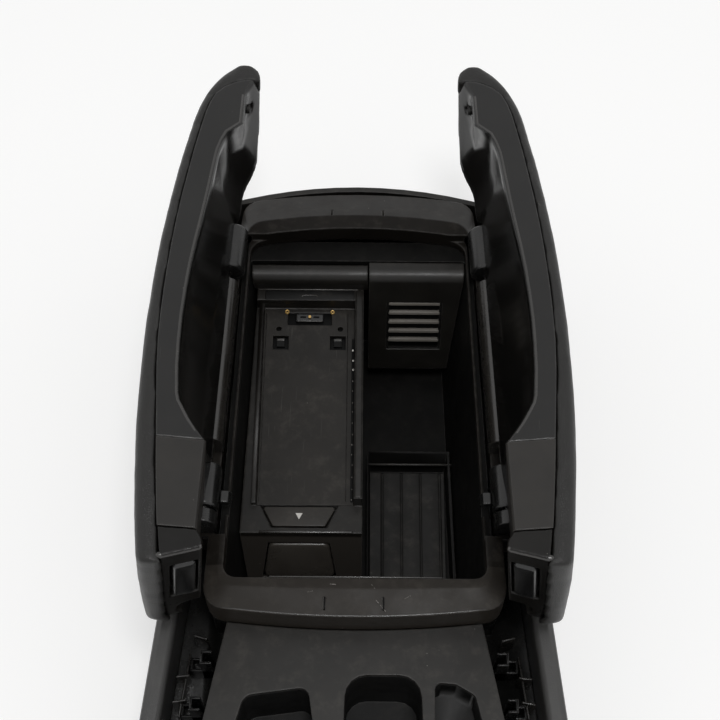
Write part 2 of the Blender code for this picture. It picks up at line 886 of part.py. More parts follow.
def make_plate():
    low = -cradle_top - plate_thickness
    left = plate_right - plate_width
    outer = [(left, plate_front), (plate_right, plate_front), (plate_right, plate_rear),
             (left, plate_rear)]
    loops = [outer]
    for side in (-1, 1):
        x = plate_middle + side * hole_spread
        y = plate_rear - hole_from_rear
        loops.append([(x + hole_radius * math.cos(math.tau * i / 12),
                       y + hole_radius * math.sin(math.tau * i / 12)) for i in range(12)])
    plate = solid("cradle_plate", plate_mesh(loops, low, -cradle_top), grey_black)
    half = window_size / 2
    for side in (-1, 1):
        x = plate_middle + side * window_spread
        y = plate_rear - window_from_rear
        window = box_mesh((x - half, y - half, -cradle_top - plate_thickness * 2),
                          (x + half, y + half, 0.0))
        cut(plate, window, "window_cutter")
    recess_y = plate_rear - connector_from_rear
    recess = box_mesh((plate_middle - connector_recess_width / 2,
                       recess_y - connector_recess_depth / 2, -cradle_top - connector_recess_floor),
                      (plate_middle + connector_recess_width / 2,
                       recess_y + connector_recess_depth / 2, 0.0))
    cut(plate, recess, "connector_recess_cutter")
    block_low = -cradle_top - connector_recess_floor + seat_gap
    block = box_mesh((plate_middle - connector_width / 2, recess_y - connector_depth / 2, block_low),
                     (plate_middle + connector_width / 2, recess_y + connector_depth / 2,
                      block_low + connector_height))
    block = solid("connector_block", block, gloss_black, roughness=0.3)
    bevel(block, connector_edge, 1)
    top = block_low + connector_height + seat_gap
    pin = rod_mesh(connector_pin_radius, (plate_middle, recess_y, top),
                   (plate_middle, recess_y, top + connector_pin_height), 12)
    solid("connector_pin", pin, gold, roughness=0.3, metallic=1.0)
    for side, name in ((-1, "left"), (1, "right")):
        x = plate_middle + side * (contact_spread + contact_radius)
        y = plate_rear - contact_from_rear
        base = (x, y, -cradle_top + seat_gap)
        contact = rod_mesh(contact_radius, base, (x, y, -cradle_top + contact_height), 14,
                           contact_radius * contact_taper)
        solid(f"antenna_contact_{name}", contact, gold, roughness=0.3, metallic=1.0)
        x = plate_middle + side * window_spread
        y = plate_rear - window_from_rear
        hook_half = window_size / 4
        foot = -rest_depth + seat_gap
        peak = -cradle_top + locking_hook_proud
        rise = [(y - hook_half, foot), (y + hook_half, foot), (y + hook_half, peak),
                (y + hook_half * 0.4, peak), (y - hook_half, -cradle_top - locking_hook_lean)]
        solid(f"locking_hook_{name}", plate_mesh([rise], x - hook_half, x + hook_half, "YZ"),
              black_plastic)


def make_hood():
    """The rounded bar above the rear end of the cradle."""
    low = -hood_bottom
    top = -hood_top
    rear = cradle_rear(hood_bottom)
    profile = [(rear, low), (rear, top)] + roll_points(hood_front, top) + [(hood_front, low)]
    left = [(cradle_left(y, -z), y, z) for y, z in profile]
    right = [(vent_left - insert_gap, y, z) for y, z in profile]
    solid("cradle_hood", skin_mesh([left, right]), soft_plastic)


# Hinges

def hinge_frame(side):
    """Axis of a lid's hinge: y runs along it and x away from the lid's outboard side."""
    place = Vector((side * hinge_half_front, 0.0, hinge_height))
    return Matrix.Translation(place) @ Matrix.Rotation(side * math.radians(hinge_taper_deg), 4, "Z")


def bored(piece, radius, front, rear, side, name):
    """A bore along the hinge axis, from front past the piece's rear end."""
    bore = rod_mesh(radius, (0.0, front, 0.0), (0.0, rear + cutter_overrun, 0.0), 16)
    bore.transform(hinge_frame(side))
    cut(piece, bore, name)


def arch_outline(radius, foot, steps=10):
    """A half-round arch with straight sides down to foot."""
    arc = [(radius * math.cos(math.pi * i / steps), radius * math.sin(math.pi * i / steps))
           for i in range(steps + 1)]
    return [(radius, foot)] + arc + [(-radius, foot)]


def make_fixed_hinge(side, name):
    frame = hinge_frame(side)
    rail_foot = -hinge_height - trough_depth + seat_gap
    rail_rear = rear_barrel_front - rail_rear_room
    rail_mesh = plate_mesh([arch_outline(rail_radius, rail_foot)], rail_front, rail_rear, "XZ")
    rail_mesh.transform(frame)
    rail = solid(f"hinge_rail_{name}", rail_mesh, black_plastic)
    bored(rail, pin_radius + seat_gap, rail_front - cutter_overrun, rail_rear, side,
          f"rail_bore_cutter_{name}")

    post_rear = post_front + post_length
    post_mesh = plate_mesh([arch_outline(post_radius, rail_foot)], post_front, post_rear, "XZ")
    post_mesh.transform(frame)
    post = solid(f"hinge_post_{name}", post_mesh, black_plastic)
    pin_front = post_front + pin_seat
    bored(post, pin_radius + seat_gap, pin_front - pin_end_room, post_rear, side,
          f"post_bore_cutter_{name}")

    pin_rear = barrel_rear - pin_rear_inset
    pin_mesh = rod_mesh(pin_radius, (0.0, pin_front, 0.0), (0.0, pin_rear, 0.0), 16)
    pin_mesh.transform(frame)
    solid(f"hinge_pin_{name}", pin_mesh, steel, roughness=0.35, metallic=1.0)


# Lids. u runs from the hinge axis toward the middle, v along the axis and w up, lid closed.

barrel_rear = rear_barrel_front + rear_barrel_length
lid_turn = math.radians(lid_open_deg)


def end_round(at, start, end, drop):
    """How far a surface falls at a rounded end, from start to its very end."""
    share = (at - start) / (end - start)
    return 0.0 if share <= 0 else drop * (1 - math.sqrt(max(0.0, 1 - min(1.0, share) ** 2)))


def split_u(v):
    taper = math.radians(hinge_taper_deg)
    return (hinge_half_front - lid_split_gap - v * math.sin(taper)) / math.cos(taper)


def arch(v):
    """The long arch of the armrest's top, before its ends are rounded."""
    return crown_height - crown_tip_fall * ((v - crown_middle) / (lid_tip - crown_middle)) ** 2


def crown(v):
    """Height of the lid's leather along the middle of the armrest."""
    rear = end_round(v, lid_tip - tip_round, lid_tip + end_ease, arch(lid_tip))
    front = end_round(-v, lid_front - front_round, lid_front + edge_ease, front_round)
    return arch(v) - rear - front


def shoulder(height):
    """Height of the leather above the hinge, from its height at the middle of the armrest."""
    return height * (1 - shoulder_drop / crown_height)


def outboard(v):
    """Outboard edge of the lid seen from above."""
    width = split_u(lid_tip) - tip_width + lid_outboard
    share = max(0.0, v - rear_curve_start) / (lid_tip - rear_curve_start)
    front = end_round(-v, lid_front - front_corner, lid_front + end_ease, front_corner)
    return -lid_outboard + width * share ** rear_curve_power + front


def seam(v):
    """Height of the seam between the leather and the plastic on the face where the lids meet."""
    band = smooth_value([(-lid_front, band_front), (panel_rear, band_front - band_step),
                         (crown_middle, band_middle), (shell_rear - seam_settle, band_rear)], v)
    fall = end_round(v, shell_rear - seam_turn, shell_rear + edge_ease, seam_fall)
    return crown(v) - band - fall


def hem(v):
    """Lower edge of the leather along the outboard and rear sides."""
    if v <= rear_barrel_front:
        return shoulder(arch(v)) - cover_side_height
    level = shoulder(arch(rear_barrel_front)) - cover_side_height
    keys = [(rear_barrel_front, level), (barrel_rear + 0.0012, rear_barrel_radius + 0.002),
            (barrel_rear + 0.006, -0.0050), (barrel_rear + 0.021, -0.0058),
            (barrel_rear + 0.036, rear_underside - skirt_depth),
            (lid_tip - 0.005, rear_underside - skirt_depth * 0.7), (lid_tip, -tip_nose)]
    return smooth_value(keys, v)


def cover_inner(v):
    return outboard(v) + cover_side


def shell_side_top(v):
    """Height of the plastic shell just inside the leather's outboard side."""
    tall = max(hem(v) + 0.002, shoulder(crown(v)) - cover_thickness)
    return min(tall, seam(v)) if v > barrel_rear else tall


def scoop(v):
    """Rise of the hollow under the lid, at the face where the lids meet."""
    keys = [(panel_rear, 0.0), (panel_rear + 0.006, scoop_height * 0.24),
            (panel_rear + 0.015, scoop_height * 0.55), (panel_rear + 0.025, scoop_height * 0.82),
            (panel_rear + 0.039, scoop_height * 0.93), (crown_middle + 0.005, scoop_height),
            (crown_middle + 0.04, scoop_height * 0.95), (rear_barrel_front - 0.01, scoop_height * 0.76),
            (barrel_rear - 0.02, scoop_height * 0.66), (barrel_rear + 0.004, scoop_height * 0.57),
            (barrel_rear + 0.018, scoop_height * 0.42), (barrel_rear + 0.024, scoop_height * 0.30),
            (barrel_rear + 0.030, 0.0)]
    return smooth_value(keys, v)


def underside(u, v):
    """Height of the lid's plastic underside."""
    floor = smooth_value([(panel_rear, block_underside), (panel_rear + 0.02, rear_underside)], v)
    inner = cover_inner(v)
    if v > barrel_rear:
        depth = min(skirt_depth, rear_underside - hem(v))
        floor -= max(0.0, depth) * max(0.0, 1 - (u - inner) / skirt_width)
    start = max(knuckle_reach, inner)
    share = min(1.0, max(0.0, (u - start) / (split_u(v) - start)))
    return floor + scoop(v) * (1 - (1 - share) ** 2.2)


def placed(points, side):
    """A section of the lid on its own side of the console."""
    return [(-side * u, v, w) for u, v, w in points]


def shell_section(v, base=0.0, gap=seat_gap, slant=0.0):
    """The plastic body of the lid at v, clear of the leather by a gap and lowered by base.

    Its points lean forward by slant for each unit of height, and each is (u, v, w).
    """
    top_v = v - slant * (seam(v) - base)

    def at(w):
        return v - slant * (w - base)

    def inner(w):
        return cover_inner(at(w)) + gap

    def below(u):
        return underside(u, v) + base

    seam_top = seam(top_v) - gap
    side_top = shell_side_top(top_v) - gap
    split = split_u(v)
    start = max(knuckle_reach, inner(base) + 0.0006)
    edge = min(0.0015, (seam_top - below(split)) / 4)
    points = [(split_u(at(seam_top)), seam_top), (split, below(split) + edge)]
    for step in range(7):
        share = (step / 6) ** 1.3
        u = split - edge - (split - edge - start) * share
        points.append((u, below(u)))
    low = below(start)
    for u, share in ((0.0, 0.2), (-0.0085, 0.45), (-0.022, 0.8)):
        rise = low + (side_top - low) * share
        points.append((max(inner(rise), u), rise))
    points.append((inner(side_top), side_top))
    points.append(((split + inner(side_top)) / 2, (seam_top + side_top) / 2))
    return [(u, at(w), w) for u, w in points]


def cover_section(v):
    """The leather cushion over the shell."""
    split = split_u(v)
    outer = outboard(v)
    top = crown(v)
    side = shoulder(top)
    bottom = hem(v)
    edge = min(cover_edge_radius, (top - bottom) * 0.3)
    round_side = min(cover_side_radius, (side - bottom) * 0.4, (split - outer) * 0.3)
    solid_end = v > shell_rear
    inner = cover_inner(v) if not solid_end else split - (split - outer) * 0.4
    points = [
        (split, seam(v) if not solid_end else bottom + 0.0004),
        (split, top - edge),
        (split - edge * 0.3, top - edge * 0.3),
        (split - edge, top),
    ]
    for share in (0.35, 0.7):
        u = split - edge - (split - edge - outer - round_side) * share
        points.append((u, top + (side - top) * share ** 2))
    points += [
        (outer + round_side, side),
        (outer + round_side * 0.3, side - round_side * 0.3),
        (outer, side - round_side),
        (outer, bottom + hem_edge),
        (outer + hem_edge, bottom),
    ]
    if solid_end:
        points += [(inner - 0.0002, bottom), (inner, bottom + 0.0001),
                   ((inner + split) / 2, bottom + 0.0002)]
    else:
        points += [(inner, bottom), (inner, shell_side_top(v)),
                   ((split + inner) / 2, (seam(v) + shell_side_top(v)) / 2)]
    return [(u, v, w) for u, w in points]


def knuckle_clearances(piece, side, name):
    """Room in the lid's plastic for the hinge that it turns around."""
    front = rod_mesh(front_barrel_radius + seat_gap, (0.0, -lid_front, 0.0),
                     (0.0, barrel_rear + hinge_end_room, 0.0), 32)
    cut(piece, front, f"hinge_room_cutter_{name}")
    rear = rod_mesh(rear_barrel_radius + seat_gap, (0.0, rear_barrel_front - hinge_end_room, 0.0),
                    (0.0, barrel_rear + hinge_end_room, 0.0), 32)
    cut(piece, rear, f"barrel_room_cutter_{name}")


def lid_stations(start, end):
    """Places along the lid that its plastic and its leather share."""
    extra = [-lid_front + 0.0008, -lid_front + 0.003, -lid_front + 0.006, -lid_front + 0.012,
             panel_front + seat_gap, 0.0,
             panel_rear + 0.006, panel_rear + 0.015, panel_rear + 0.025, barrel_rear + 0.0012,
             barrel_rear + 0.006, barrel_rear + 0.013, barrel_rear + 0.021, barrel_rear + 0.030,
             barrel_rear + 0.036, barrel_rear + 0.045, shell_rear - 0.014, shell_rear - 0.008,
             shell_rear - 0.004, shell_rear - 0.0015, shell_rear - seat_gap, shell_rear,
             shell_rear + 0.0001,
             shell_rear + 0.005, lid_tip - 0.004, lid_tip - 0.0015, lid_tip - 0.0004, lid_tip]
    evenly = [-lid_front + lid_pitch * i for i in range(int((barrel_rear + lid_front) / lid_pitch))]
    inside = {round(v, 6) for v in extra + evenly if start < v < end}
    return sorted(inside | {start, end})


def make_lid(side, name):
    hinge = empty(f"{name}_lid_hinge", (side * hinge_half_front, 0.0, hinge_height), root,
                  (0.0, side * lid_turn, side * math.radians(hinge_taper_deg)))

    places = lid_stations(panel_rear + seat_gap, shell_rear - seat_gap)
    shell = solid(f"lid_shell_{name}", skin_mesh([placed(shell_section(v), side)
                  for v in places]), soft_plastic, parent=hinge)
    knuckle_clearances(shell, side, name + "_shell")

    places = lid_stations(panel_front + seat_gap, panel_rear)
    panel = solid(f"lid_inner_panel_{name}", skin_mesh([placed(shell_section(v), side)
                  for v in places]), soft_plastic, parent=hinge)
    knuckle_clearances(panel, side, name + "_panel")

    make_cap(side, name, hinge)

    places = lid_stations(-lid_front, lid_tip)
    solid(f"lid_cover_{name}", skin_mesh([placed(cover_section(v), side) for v in places]),
          dark_leather, parent=hinge, roughness=0.6)

    for radius, start, length, which in (
            (front_barrel_radius, front_barrel_front, front_barrel_length, "front"),
            (rear_barrel_radius, rear_barrel_front, rear_barrel_length, "rear")):
        barrel = solid(f"hinge_barrel_{which}_{name}",
                       rod_mesh(radius, (0.0, start, 0.0), (0.0, start + length, 0.0), 32),
                       black_plastic, parent=hinge)
        bevel(barrel, barrel_edge, 1)
        bore = rod_mesh(pin_radius + seat_gap, (0.0, start - cutter_overrun, 0.0),
                        (0.0, start + length + cutter_overrun, 0.0), 16)
        cut(barrel, bore, f"{which}_barrel_bore_cutter_{name}")

    half = hook_height / 2
    outline = [(half, -front_barrel_radius * 0.6), (half, -hook_reach + half),
               (-half * 0.2, -hook_reach), (-half, -hook_reach + half * 0.6),
               (-half, -front_barrel_radius * 0.6)]
    arm = plate_mesh([[(-side * u, w) for u, w in outline]], hook_front, hook_front + hook_width, "XZ")
    hook = solid(f"stop_hook_{name}", arm, black_plastic, parent=hinge, roughness=0.4)
    room = rod_mesh(front_barrel_radius + seat_gap, (0.0, hook_front - hook_room, 0.0),
                    (0.0, hook_front + hook_width + hook_room, 0.0), 32)
    cut(hook, room, f"hook_seat_cutter_{name}")

    bumper_u = split_u(bumper_v) - bumper_from_split
    bumper_w = underside(bumper_u, bumper_v)
    well = rod_mesh(bumper_size / 2 + seat_gap, (-side * bumper_u, bumper_v, bumper_w - bumper_size),
                    (-side * bumper_u, bumper_v, bumper_w + bumper_sink), 12)
    cut(shell, well, f"bumper_well_cutter_{name}")
    rubber = rod_mesh(bumper_size / 2, (-side * bumper_u, bumper_v, bumper_w - bumper_proud),
                      (-side * bumper_u, bumper_v, bumper_w + bumper_sink - seat_gap), 12)
    solid(f"lid_bumper_{name}", rubber, gloss_black, parent=hinge)


def make_cap(side, name, hinge):
    """The front end of the lid, leaning back toward its underside, with the push button in it."""
    lip = -cap_lip
    front_v = -cap_face_front
    back_v = panel_front - seat_gap
    sections = []
    for step in range(cap_steps + 1):
        share = step / cap_steps
        section = shell_section(back_v + (front_v - back_v) * share, lip * min(1.0, 2 * share),
                                2 * seat_gap, cap_face_slope * share)
        sections.append(placed(section, side))
    cap = solid(f"lid_end_cap_{name}", skin_mesh(sections), soft_plastic, parent=hinge)
    knuckle_clearances(cap, side, name + "_cap")

    up = Vector((0.0, -cap_face_slope, 1.0)).normalized()
    out = Vector((0.0, -1.0, -cap_face_slope)).normalized()
    across = up.cross(out)
    turn = Matrix((across, up, out)).transposed().to_4x4()
    u = button_inboard + button_length / 2
    face_w = button_middle - lip
    centre = Vector((-side * u, front_v - cap_face_slope * face_w, button_middle))
    frame = Matrix.Translation(centre) @ turn
    half_l = button_length / 2
    half_h = button_height / 2
    deep = button_thickness - button_proud + button_travel + seat_gap
    grow = running_gap / 2
    pocket = box_mesh((-half_l - grow, -half_h - grow, -deep), (half_l + grow, half_h + grow, button_thickness * 2))
    pocket.transform(frame)
    cut(cap, pocket, f"button_pocket_cutter_{name}")
    slide = empty(f"{name}_lid_button_slide", centre, hinge)
    body = box_mesh((-half_l, -half_h, button_proud - button_thickness),
                    (half_l, half_h, button_proud))
    body.transform(turn)
    button = solid(f"lid_button_{name}", body, gloss_black, parent=slide, roughness=0.2)
    bevel(button, button_edge, 2)


# Front deck, wells and the outer body

def deck_half(y):
    """Half the deck's width, which widens toward the front."""
    return deck_half_rear - deck_flare * (y + rim_front_length)


deck_holes = {
    "left": [(-0.0830, -0.1180, 0.006), (-0.0690, -0.0680, 0.008), (-0.0290, -0.0625, 0.006),
             (-0.0205, -0.1180, 0.006)],
    "centre": [(-0.0070, -0.1150, 0.010), (-0.0055, -0.0545, 0.014), (0.0420, -0.0545, 0.014),
               (0.0440, -0.1150, 0.010)],
    "right": [(0.0500, -0.1180, 0.004), (0.0510, -0.0590, 0.004), (0.0640, -0.0600, 0.004),
              (0.0760, -0.0670, 0.006), (0.0880, -0.1180, 0.006)],
}
well_depths = {"left": left_well_depth, "centre": centre_well_depth, "right": right_well_depth}


def grown(outline, amount):
    """An outline moved outward by amount, corner by corner."""
    count = len(outline)
    area = sum(outline[i][0] * outline[(i + 1) % count][1] - outline[(i + 1) % count][0]
               * outline[i][1] for i in range(count))
    turn = 1 if area > 0 else -1
    moved = []
    for i in range(count):
        before = Vector(outline[i - 1])
        here = Vector(outline[i])
        after = Vector(outline[(i + 1) % count])
        first = (here - before).normalized()
        second = (after - here).normalized()
        normal = Vector((first.y + second.y, -first.x - second.x)).normalized() * turn
        stretch = max(0.5, normal.dot(Vector((first.y, -first.x)) * turn))
        moved.append(tuple(here + normal * (amount / stretch)))
    return moved


def make_deck():
    front = -deck_front
    reach = (deck_half_rear / rim_outer_half(-rim_front_length, 0.0)) ** 2
    rear_y = -rim_front_length - rim_front_bow * (1 - reach) - 2 * seat_gap
    rear_edge = bowed(deck_half_rear, rear_y, -rim_front_bow * reach, 0.0, 4)
    corners = rear_edge + [(deck_half(front), front, deck_corner_radius),
                           (-deck_half(front), front, deck_corner_radius)]
    outer = rounded(corners, 3)
    deck = solid("front_deck", plate_mesh([outer], -deck_depth - deck_thickness, -deck_depth),
                 soft_plastic)
    for name, corners in deck_holes.items():
        hole = rounded(corners, 4)
        cutter = plate_mesh([hole], -deck_depth - deck_thickness * 2, 0.0)
        cut(deck, cutter, f"{name}_opening_cutter")
    bevel(deck, deck_edge_radius, 2)
    for name, corners in deck_holes.items():
        hole = rounded(corners, 4)
        top = -deck_depth - deck_thickness - seat_gap
        low = top - well_depths[name]
        outer_loop = grown(hole, well_wall)
        sections = [[(x, y, low + well_wall) for x, y in hole], [(x, y, top) for x, y in hole],
                    [(x, y, top) for x, y in outer_loop], [(x, y, low) for x, y in outer_loop]]
        solid(f"{name}_well", skin_mesh(sections), black_plastic)


def side_half(y):
    keys = [(-deck_front, side_half_front), (-rim_front_length, side_half_middle),
            (side_rear, side_half_rear)]
    return smooth_value(keys, y)


def side_line(inset, start, end, steps=9):
    return [(side_half(start + (end - start) * i / steps) - inset,
             start + (end - start) * i / steps) for i in range(steps + 1)]


def ring_outline(inset):
    """Outer line of the carrier's wall, under the deck's and the rim's edges."""
    front = -deck_front + front_panel_thickness + seat_gap + inset
    shoulder_y = -rim_front_length + ring_front_inset
    outline = [(deck_half(front) - inset - seat_gap, front)]
    step_y = shoulder_y - ring_step
    outline += [(deck_half(step_y) - inset - seat_gap, step_y + inset)]
    outline += [(rim_outer_half(shoulder_y, 0.0) - ring_front_inset - inset, shoulder_y + inset)]
    rear = opening_length + rim_rear_length - ring_rear_inset - inset
    outline += [(rim_outer_half(rear, 0.0) - ring_side_inset - inset, rear)]
    outline += [(-x, y) for x, y in reversed(outline)]
    return outline


def make_body():
    floor_low = -body_depth
    floor_high = floor_low + floor_thickness
    front = -deck_front + front_panel_thickness + seat_gap
    inner_right = side_line(side_thickness + seat_gap, front, side_rear)
    floor_half = inner_right[-1][0]
    reach = (floor_half / side_half_rear) ** 2
    rear_y = side_rear + seat_gap + rear_panel_bow * (1 - reach)
    rear_edge = bowed(floor_half, rear_y, rear_panel_bow * reach, 0.0, 6, False)
    floor = inner_right + [(x, y) for x, y, radius in rear_edge]
    floor += [(-x, y) for x, y in reversed(inner_right)]
    carrier = solid("carrier", plate_mesh([floor], floor_low, floor_high), black_plastic)
    ring_top = -rim_skirt_depth - seat_gap
    ring = plate_mesh([ring_outline(0.0), ring_outline(carrier_wall)], floor_high - join_depth, ring_top)
    join(carrier, ring, "carrier_wall_adder")
    gutter_top = -gutter_depth
    for side in (-1, 1):
        out = [(side * x, y) for x, y in inner_right]
        half = len(ring_outline(0.0)) // 2
        inside = [(side * (x - 2 * join_depth), y) for x, y in ring_outline(0.0)[:half]]
        strip = out + list(reversed(inside))
        shelf = plate_mesh([strip], gutter_top - gutter_floor, gutter_top)
        join(carrier, shelf, f"gutter_adder_{side + 1}")
        name = "left" if side < 0 else "right"
        for i in range(clip_count):
            y = -clip_first - clip_pitch * i
            near = deck_half(y) + clip_inboard_room
            foot = (side_half(y) - side_thickness - deck_half(y)) * clip_share
            top = foot * clip_top_share
            low = gutter_top + seat_gap
            outline = [(near, low), (near + foot, low), (near + foot, low + clip_height * clip_step_low),
                       (near + top, low + clip_height * clip_step_high),
                       (near + top, low + clip_height), (near, low + clip_height)]
            shape = plate_mesh([[(side * x, z) for x, z in outline]], y, y + clip_length, "XZ")
            solid(f"gutter_clip_{name}_{i + 1}", shape, black_plastic)

    for side, name in ((-1, "left"), (1, "right")):
        outer = side_line(0.0, -deck_front, side_rear)
        inner = side_line(side_thickness, -deck_front, side_rear)
        loop = [(side * x, y) for x, y in outer + list(reversed(inner))]
        panel = solid(f"side_panel_{name}", plate_mesh([loop], floor_low, -side_top), dark_leather,
                      roughness=0.6)
        bevel(panel, side_edge_radius, 2)

    half = side_half_rear
    rear = bowed(half, side_rear + seat_gap * 2, rear_panel_bow, 0.0, 6)
    loop = [(x, y + rear_panel_thickness) for x, y, r in rear]
    loop += [(x, y) for x, y, r in reversed(rear)]
    solid("rear_panel", plate_mesh([loop], floor_low, -rear_panel_top), soft_plastic)

    panel_back = -deck_front + front_panel_thickness
    wide = side_half(panel_back) - side_thickness - seat_gap * 2
    front = box_mesh((-wide, -deck_front, floor_low),
                     (wide, panel_back, -deck_depth - deck_thickness - seat_gap))
    solid("front_panel", front, black_plastic)


make_rim()
make_tub()
make_tray()
make_vent()
cradle_body = make_cradle()
make_flap(cradle_body)
make_release_button(cradle_body)
make_plate()
make_hood()
make_deck()
make_body()
for hinge_side, hinge_name in ((-1, "left"), (1, "right")):
    make_fixed_hinge(hinge_side, hinge_name)
    make_lid(hinge_side, hinge_name)
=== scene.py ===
"""Looks of the centre console armrest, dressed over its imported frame. Metres, +Z up."""
import json
import math

import bmesh
import bpy
from mathutils import Matrix, Vector, noise


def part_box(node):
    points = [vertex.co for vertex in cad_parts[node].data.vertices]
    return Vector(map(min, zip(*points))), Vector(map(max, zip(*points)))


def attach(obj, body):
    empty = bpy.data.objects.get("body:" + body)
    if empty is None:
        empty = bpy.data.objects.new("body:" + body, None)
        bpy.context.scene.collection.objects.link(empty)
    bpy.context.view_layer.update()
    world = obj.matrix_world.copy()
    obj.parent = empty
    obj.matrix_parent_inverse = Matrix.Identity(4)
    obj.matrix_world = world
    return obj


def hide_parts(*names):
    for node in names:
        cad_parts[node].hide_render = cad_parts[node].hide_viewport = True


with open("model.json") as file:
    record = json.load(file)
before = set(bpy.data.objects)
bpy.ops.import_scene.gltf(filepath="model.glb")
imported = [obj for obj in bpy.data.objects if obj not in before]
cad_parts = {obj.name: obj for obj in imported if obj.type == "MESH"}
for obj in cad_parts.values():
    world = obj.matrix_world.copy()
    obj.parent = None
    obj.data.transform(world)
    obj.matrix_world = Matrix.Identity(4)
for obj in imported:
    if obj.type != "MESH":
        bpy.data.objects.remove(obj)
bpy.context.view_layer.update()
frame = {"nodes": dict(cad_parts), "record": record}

scene = bpy.context.scene
nodes = frame["nodes"]
body_of = {}
for body, members in frame["record"]["behaviour"]["bodies"].items():
    for member in members:
        body_of[member] = body


# Camera, lamps, backdrop and floor

camera_place = (0.0021, -0.4069, 1.0234)
camera_tilt = math.radians(28.0)
camera_roll = math.radians(0.45)
camera_sensor_mm = 36.0
camera_lens_mm = 72.5

camera_data = bpy.data.cameras.new("camera")
camera_data.sensor_width = camera_sensor_mm
camera_data.lens = camera_lens_mm
camera = bpy.data.objects.new("camera", camera_data)
camera_turn = Matrix.Rotation(camera_tilt, 4, "X") @ Matrix.Rotation(camera_roll, 4, "Z")
camera.matrix_world = Matrix.Translation(camera_place) @ camera_turn
scene.collection.objects.link(camera)
scene.camera = camera
scene.view_settings.view_transform = "Standard"


def area_lamp(name, place, target, size, power):
    """A square lamp of a size in metres and a power in watts, aimed at a target."""
    data = bpy.data.lights.new(name, "AREA")
    data.shape = "SQUARE"
    data.size = size
    data.energy = power
    lamp = bpy.data.objects.new(name, data)
    lamp.location = place
    aim = Vector(target) - Vector(place)
    lamp.rotation_euler = aim.to_track_quat("-Z", "Y").to_euler()
    scene.collection.objects.link(lamp)


area_lamp("lamp_key", (0.10, -0.38, 1.75), (0.0, 0.0, 0.15), 0.26, 8.5)
area_lamp("lamp_left", (-1.3, 0.1, 0.85), (0.0, 0.0, 0.2), 0.8, 1.4)
area_lamp("lamp_right", (1.3, 0.1, 0.85), (0.0, 0.0, 0.2), 0.8, 1.4)


def put(tree, kind, **settings):
    """A new node, with its settings."""
    made = tree.nodes.new(kind)
    for key, value in settings.items():
        setattr(made, key, value)
    return made


def seen_by_eye(tree):
    """1 for rays from the eye, from a reflection or through glass, and 0 for diffuse light."""
    path = put(tree, "ShaderNodeLightPath")
    first = put(tree, "ShaderNodeMath", operation="MAXIMUM")
    both = put(tree, "ShaderNodeMath", operation="MAXIMUM")
    tree.links.new(path.outputs["Is Camera Ray"], first.inputs[0])
    tree.links.new(path.outputs["Is Glossy Ray"], first.inputs[1])
    tree.links.new(first.outputs[0], both.inputs[0])
    tree.links.new(path.outputs["Is Transmission Ray"], both.inputs[1])
    return both.outputs[0]


backdrop_cast = 0.55         # strength of the light that the backdrop casts
backdrop_seen = 1.04         # strength where the eye sees it
floor_half = 4.0
floor_tone = (0.62, 0.62, 0.615)
floor_seen = 0.465           # glow added where the eye sees the floor

world = bpy.data.worlds.new("backdrop")
world.use_nodes = True
tree = world.node_tree
tree.nodes.clear()
sky = put(tree, "ShaderNodeBackground")
sky.inputs["Color"].default_value = (1.0, 1.0, 1.0, 1.0)
level = put(tree, "ShaderNodeMapRange")
level.inputs["To Min"].default_value = backdrop_cast
level.inputs["To Max"].default_value = backdrop_seen
tree.links.new(seen_by_eye(tree), level.inputs["Value"])
tree.links.new(level.outputs["Result"], sky.inputs["Strength"])
out = put(tree, "ShaderNodeOutputWorld")
tree.links.new(sky.outputs[0], out.inputs[0])
scene.world = world

floor_mesh = bpy.data.meshes.new("floor")
floor_mesh.from_pydata([(-floor_half, -floor_half, 0.0), (floor_half, -floor_half, 0.0),
                        (floor_half, floor_half, 0.0), (-floor_half, floor_half, 0.0)],
                       [], [(0, 1, 2, 3)])
floor = bpy.data.objects.new("floor", floor_mesh)
scene.collection.objects.link(floor)
paint = bpy.data.materials.new("floor_white")
paint.use_nodes = True
tree = paint.node_tree
tree.nodes.clear()
matt = put(tree, "ShaderNodeBsdfDiffuse")
matt.inputs["Color"].default_value = (*floor_tone, 1.0)
glow = put(tree, "ShaderNodeEmission")
glow.inputs["Color"].default_value = (1.0, 1.0, 1.0, 1.0)
share = put(tree, "ShaderNodeMath", operation="MULTIPLY")
share.inputs[1].default_value = floor_seen
tree.links.new(seen_by_eye(tree), share.inputs[0])
tree.links.new(share.outputs[0], glow.inputs["Strength"])
both = put(tree, "ShaderNodeAddShader")
tree.links.new(matt.outputs[0], both.inputs[0])
tree.links.new(glow.outputs[0], both.inputs[1])
out = put(tree, "ShaderNodeOutputMaterial")
tree.links.new(both.outputs[0], out.inputs["Surface"])
floor_mesh.materials.append(paint)


# Materials

dust_tone = (0.16, 0.145, 0.125)
scratch_tone = (0.13, 0.125, 0.115)
speck_tone = (0.42, 0.40, 0.37)
rub_tone = (0.26, 0.25, 0.23)
crease_share = 0.35          # how dark the painted shade in a leather crease is, beside its colour
speck_pitch = 260.0          # cells per metre, of which a few hold a speck
wear_size = 0.006            # metres, as are the next four
dust_size = 0.011
scratch_size = 0.0011
rub_size = 0.0011
sheen_size = 0.018
bevel_samples = 6
front_fade = 0.0006          # metres over which the painted lighter front colour takes over ahead of front_y


def noise_of(tree, coords, size, detail=3.0, rough=0.5, stretch=None):
    """Noise with features of a size in metres."""
    made = put(tree, "ShaderNodeTexNoise")
    made.inputs["Scale"].default_value = 1.0 / size
    made.inputs["Detail"].default_value = detail
    made.inputs["Roughness"].default_value = rough
    if stretch:
        mapping = put(tree, "ShaderNodeMapping")
        mapping.inputs["Scale"].default_value = stretch
        tree.links.new(coords, mapping.inputs["Vector"])
        coords = mapping.outputs[0]
    tree.links.new(coords, made.inputs["Vector"])
    return made.outputs["Fac"]


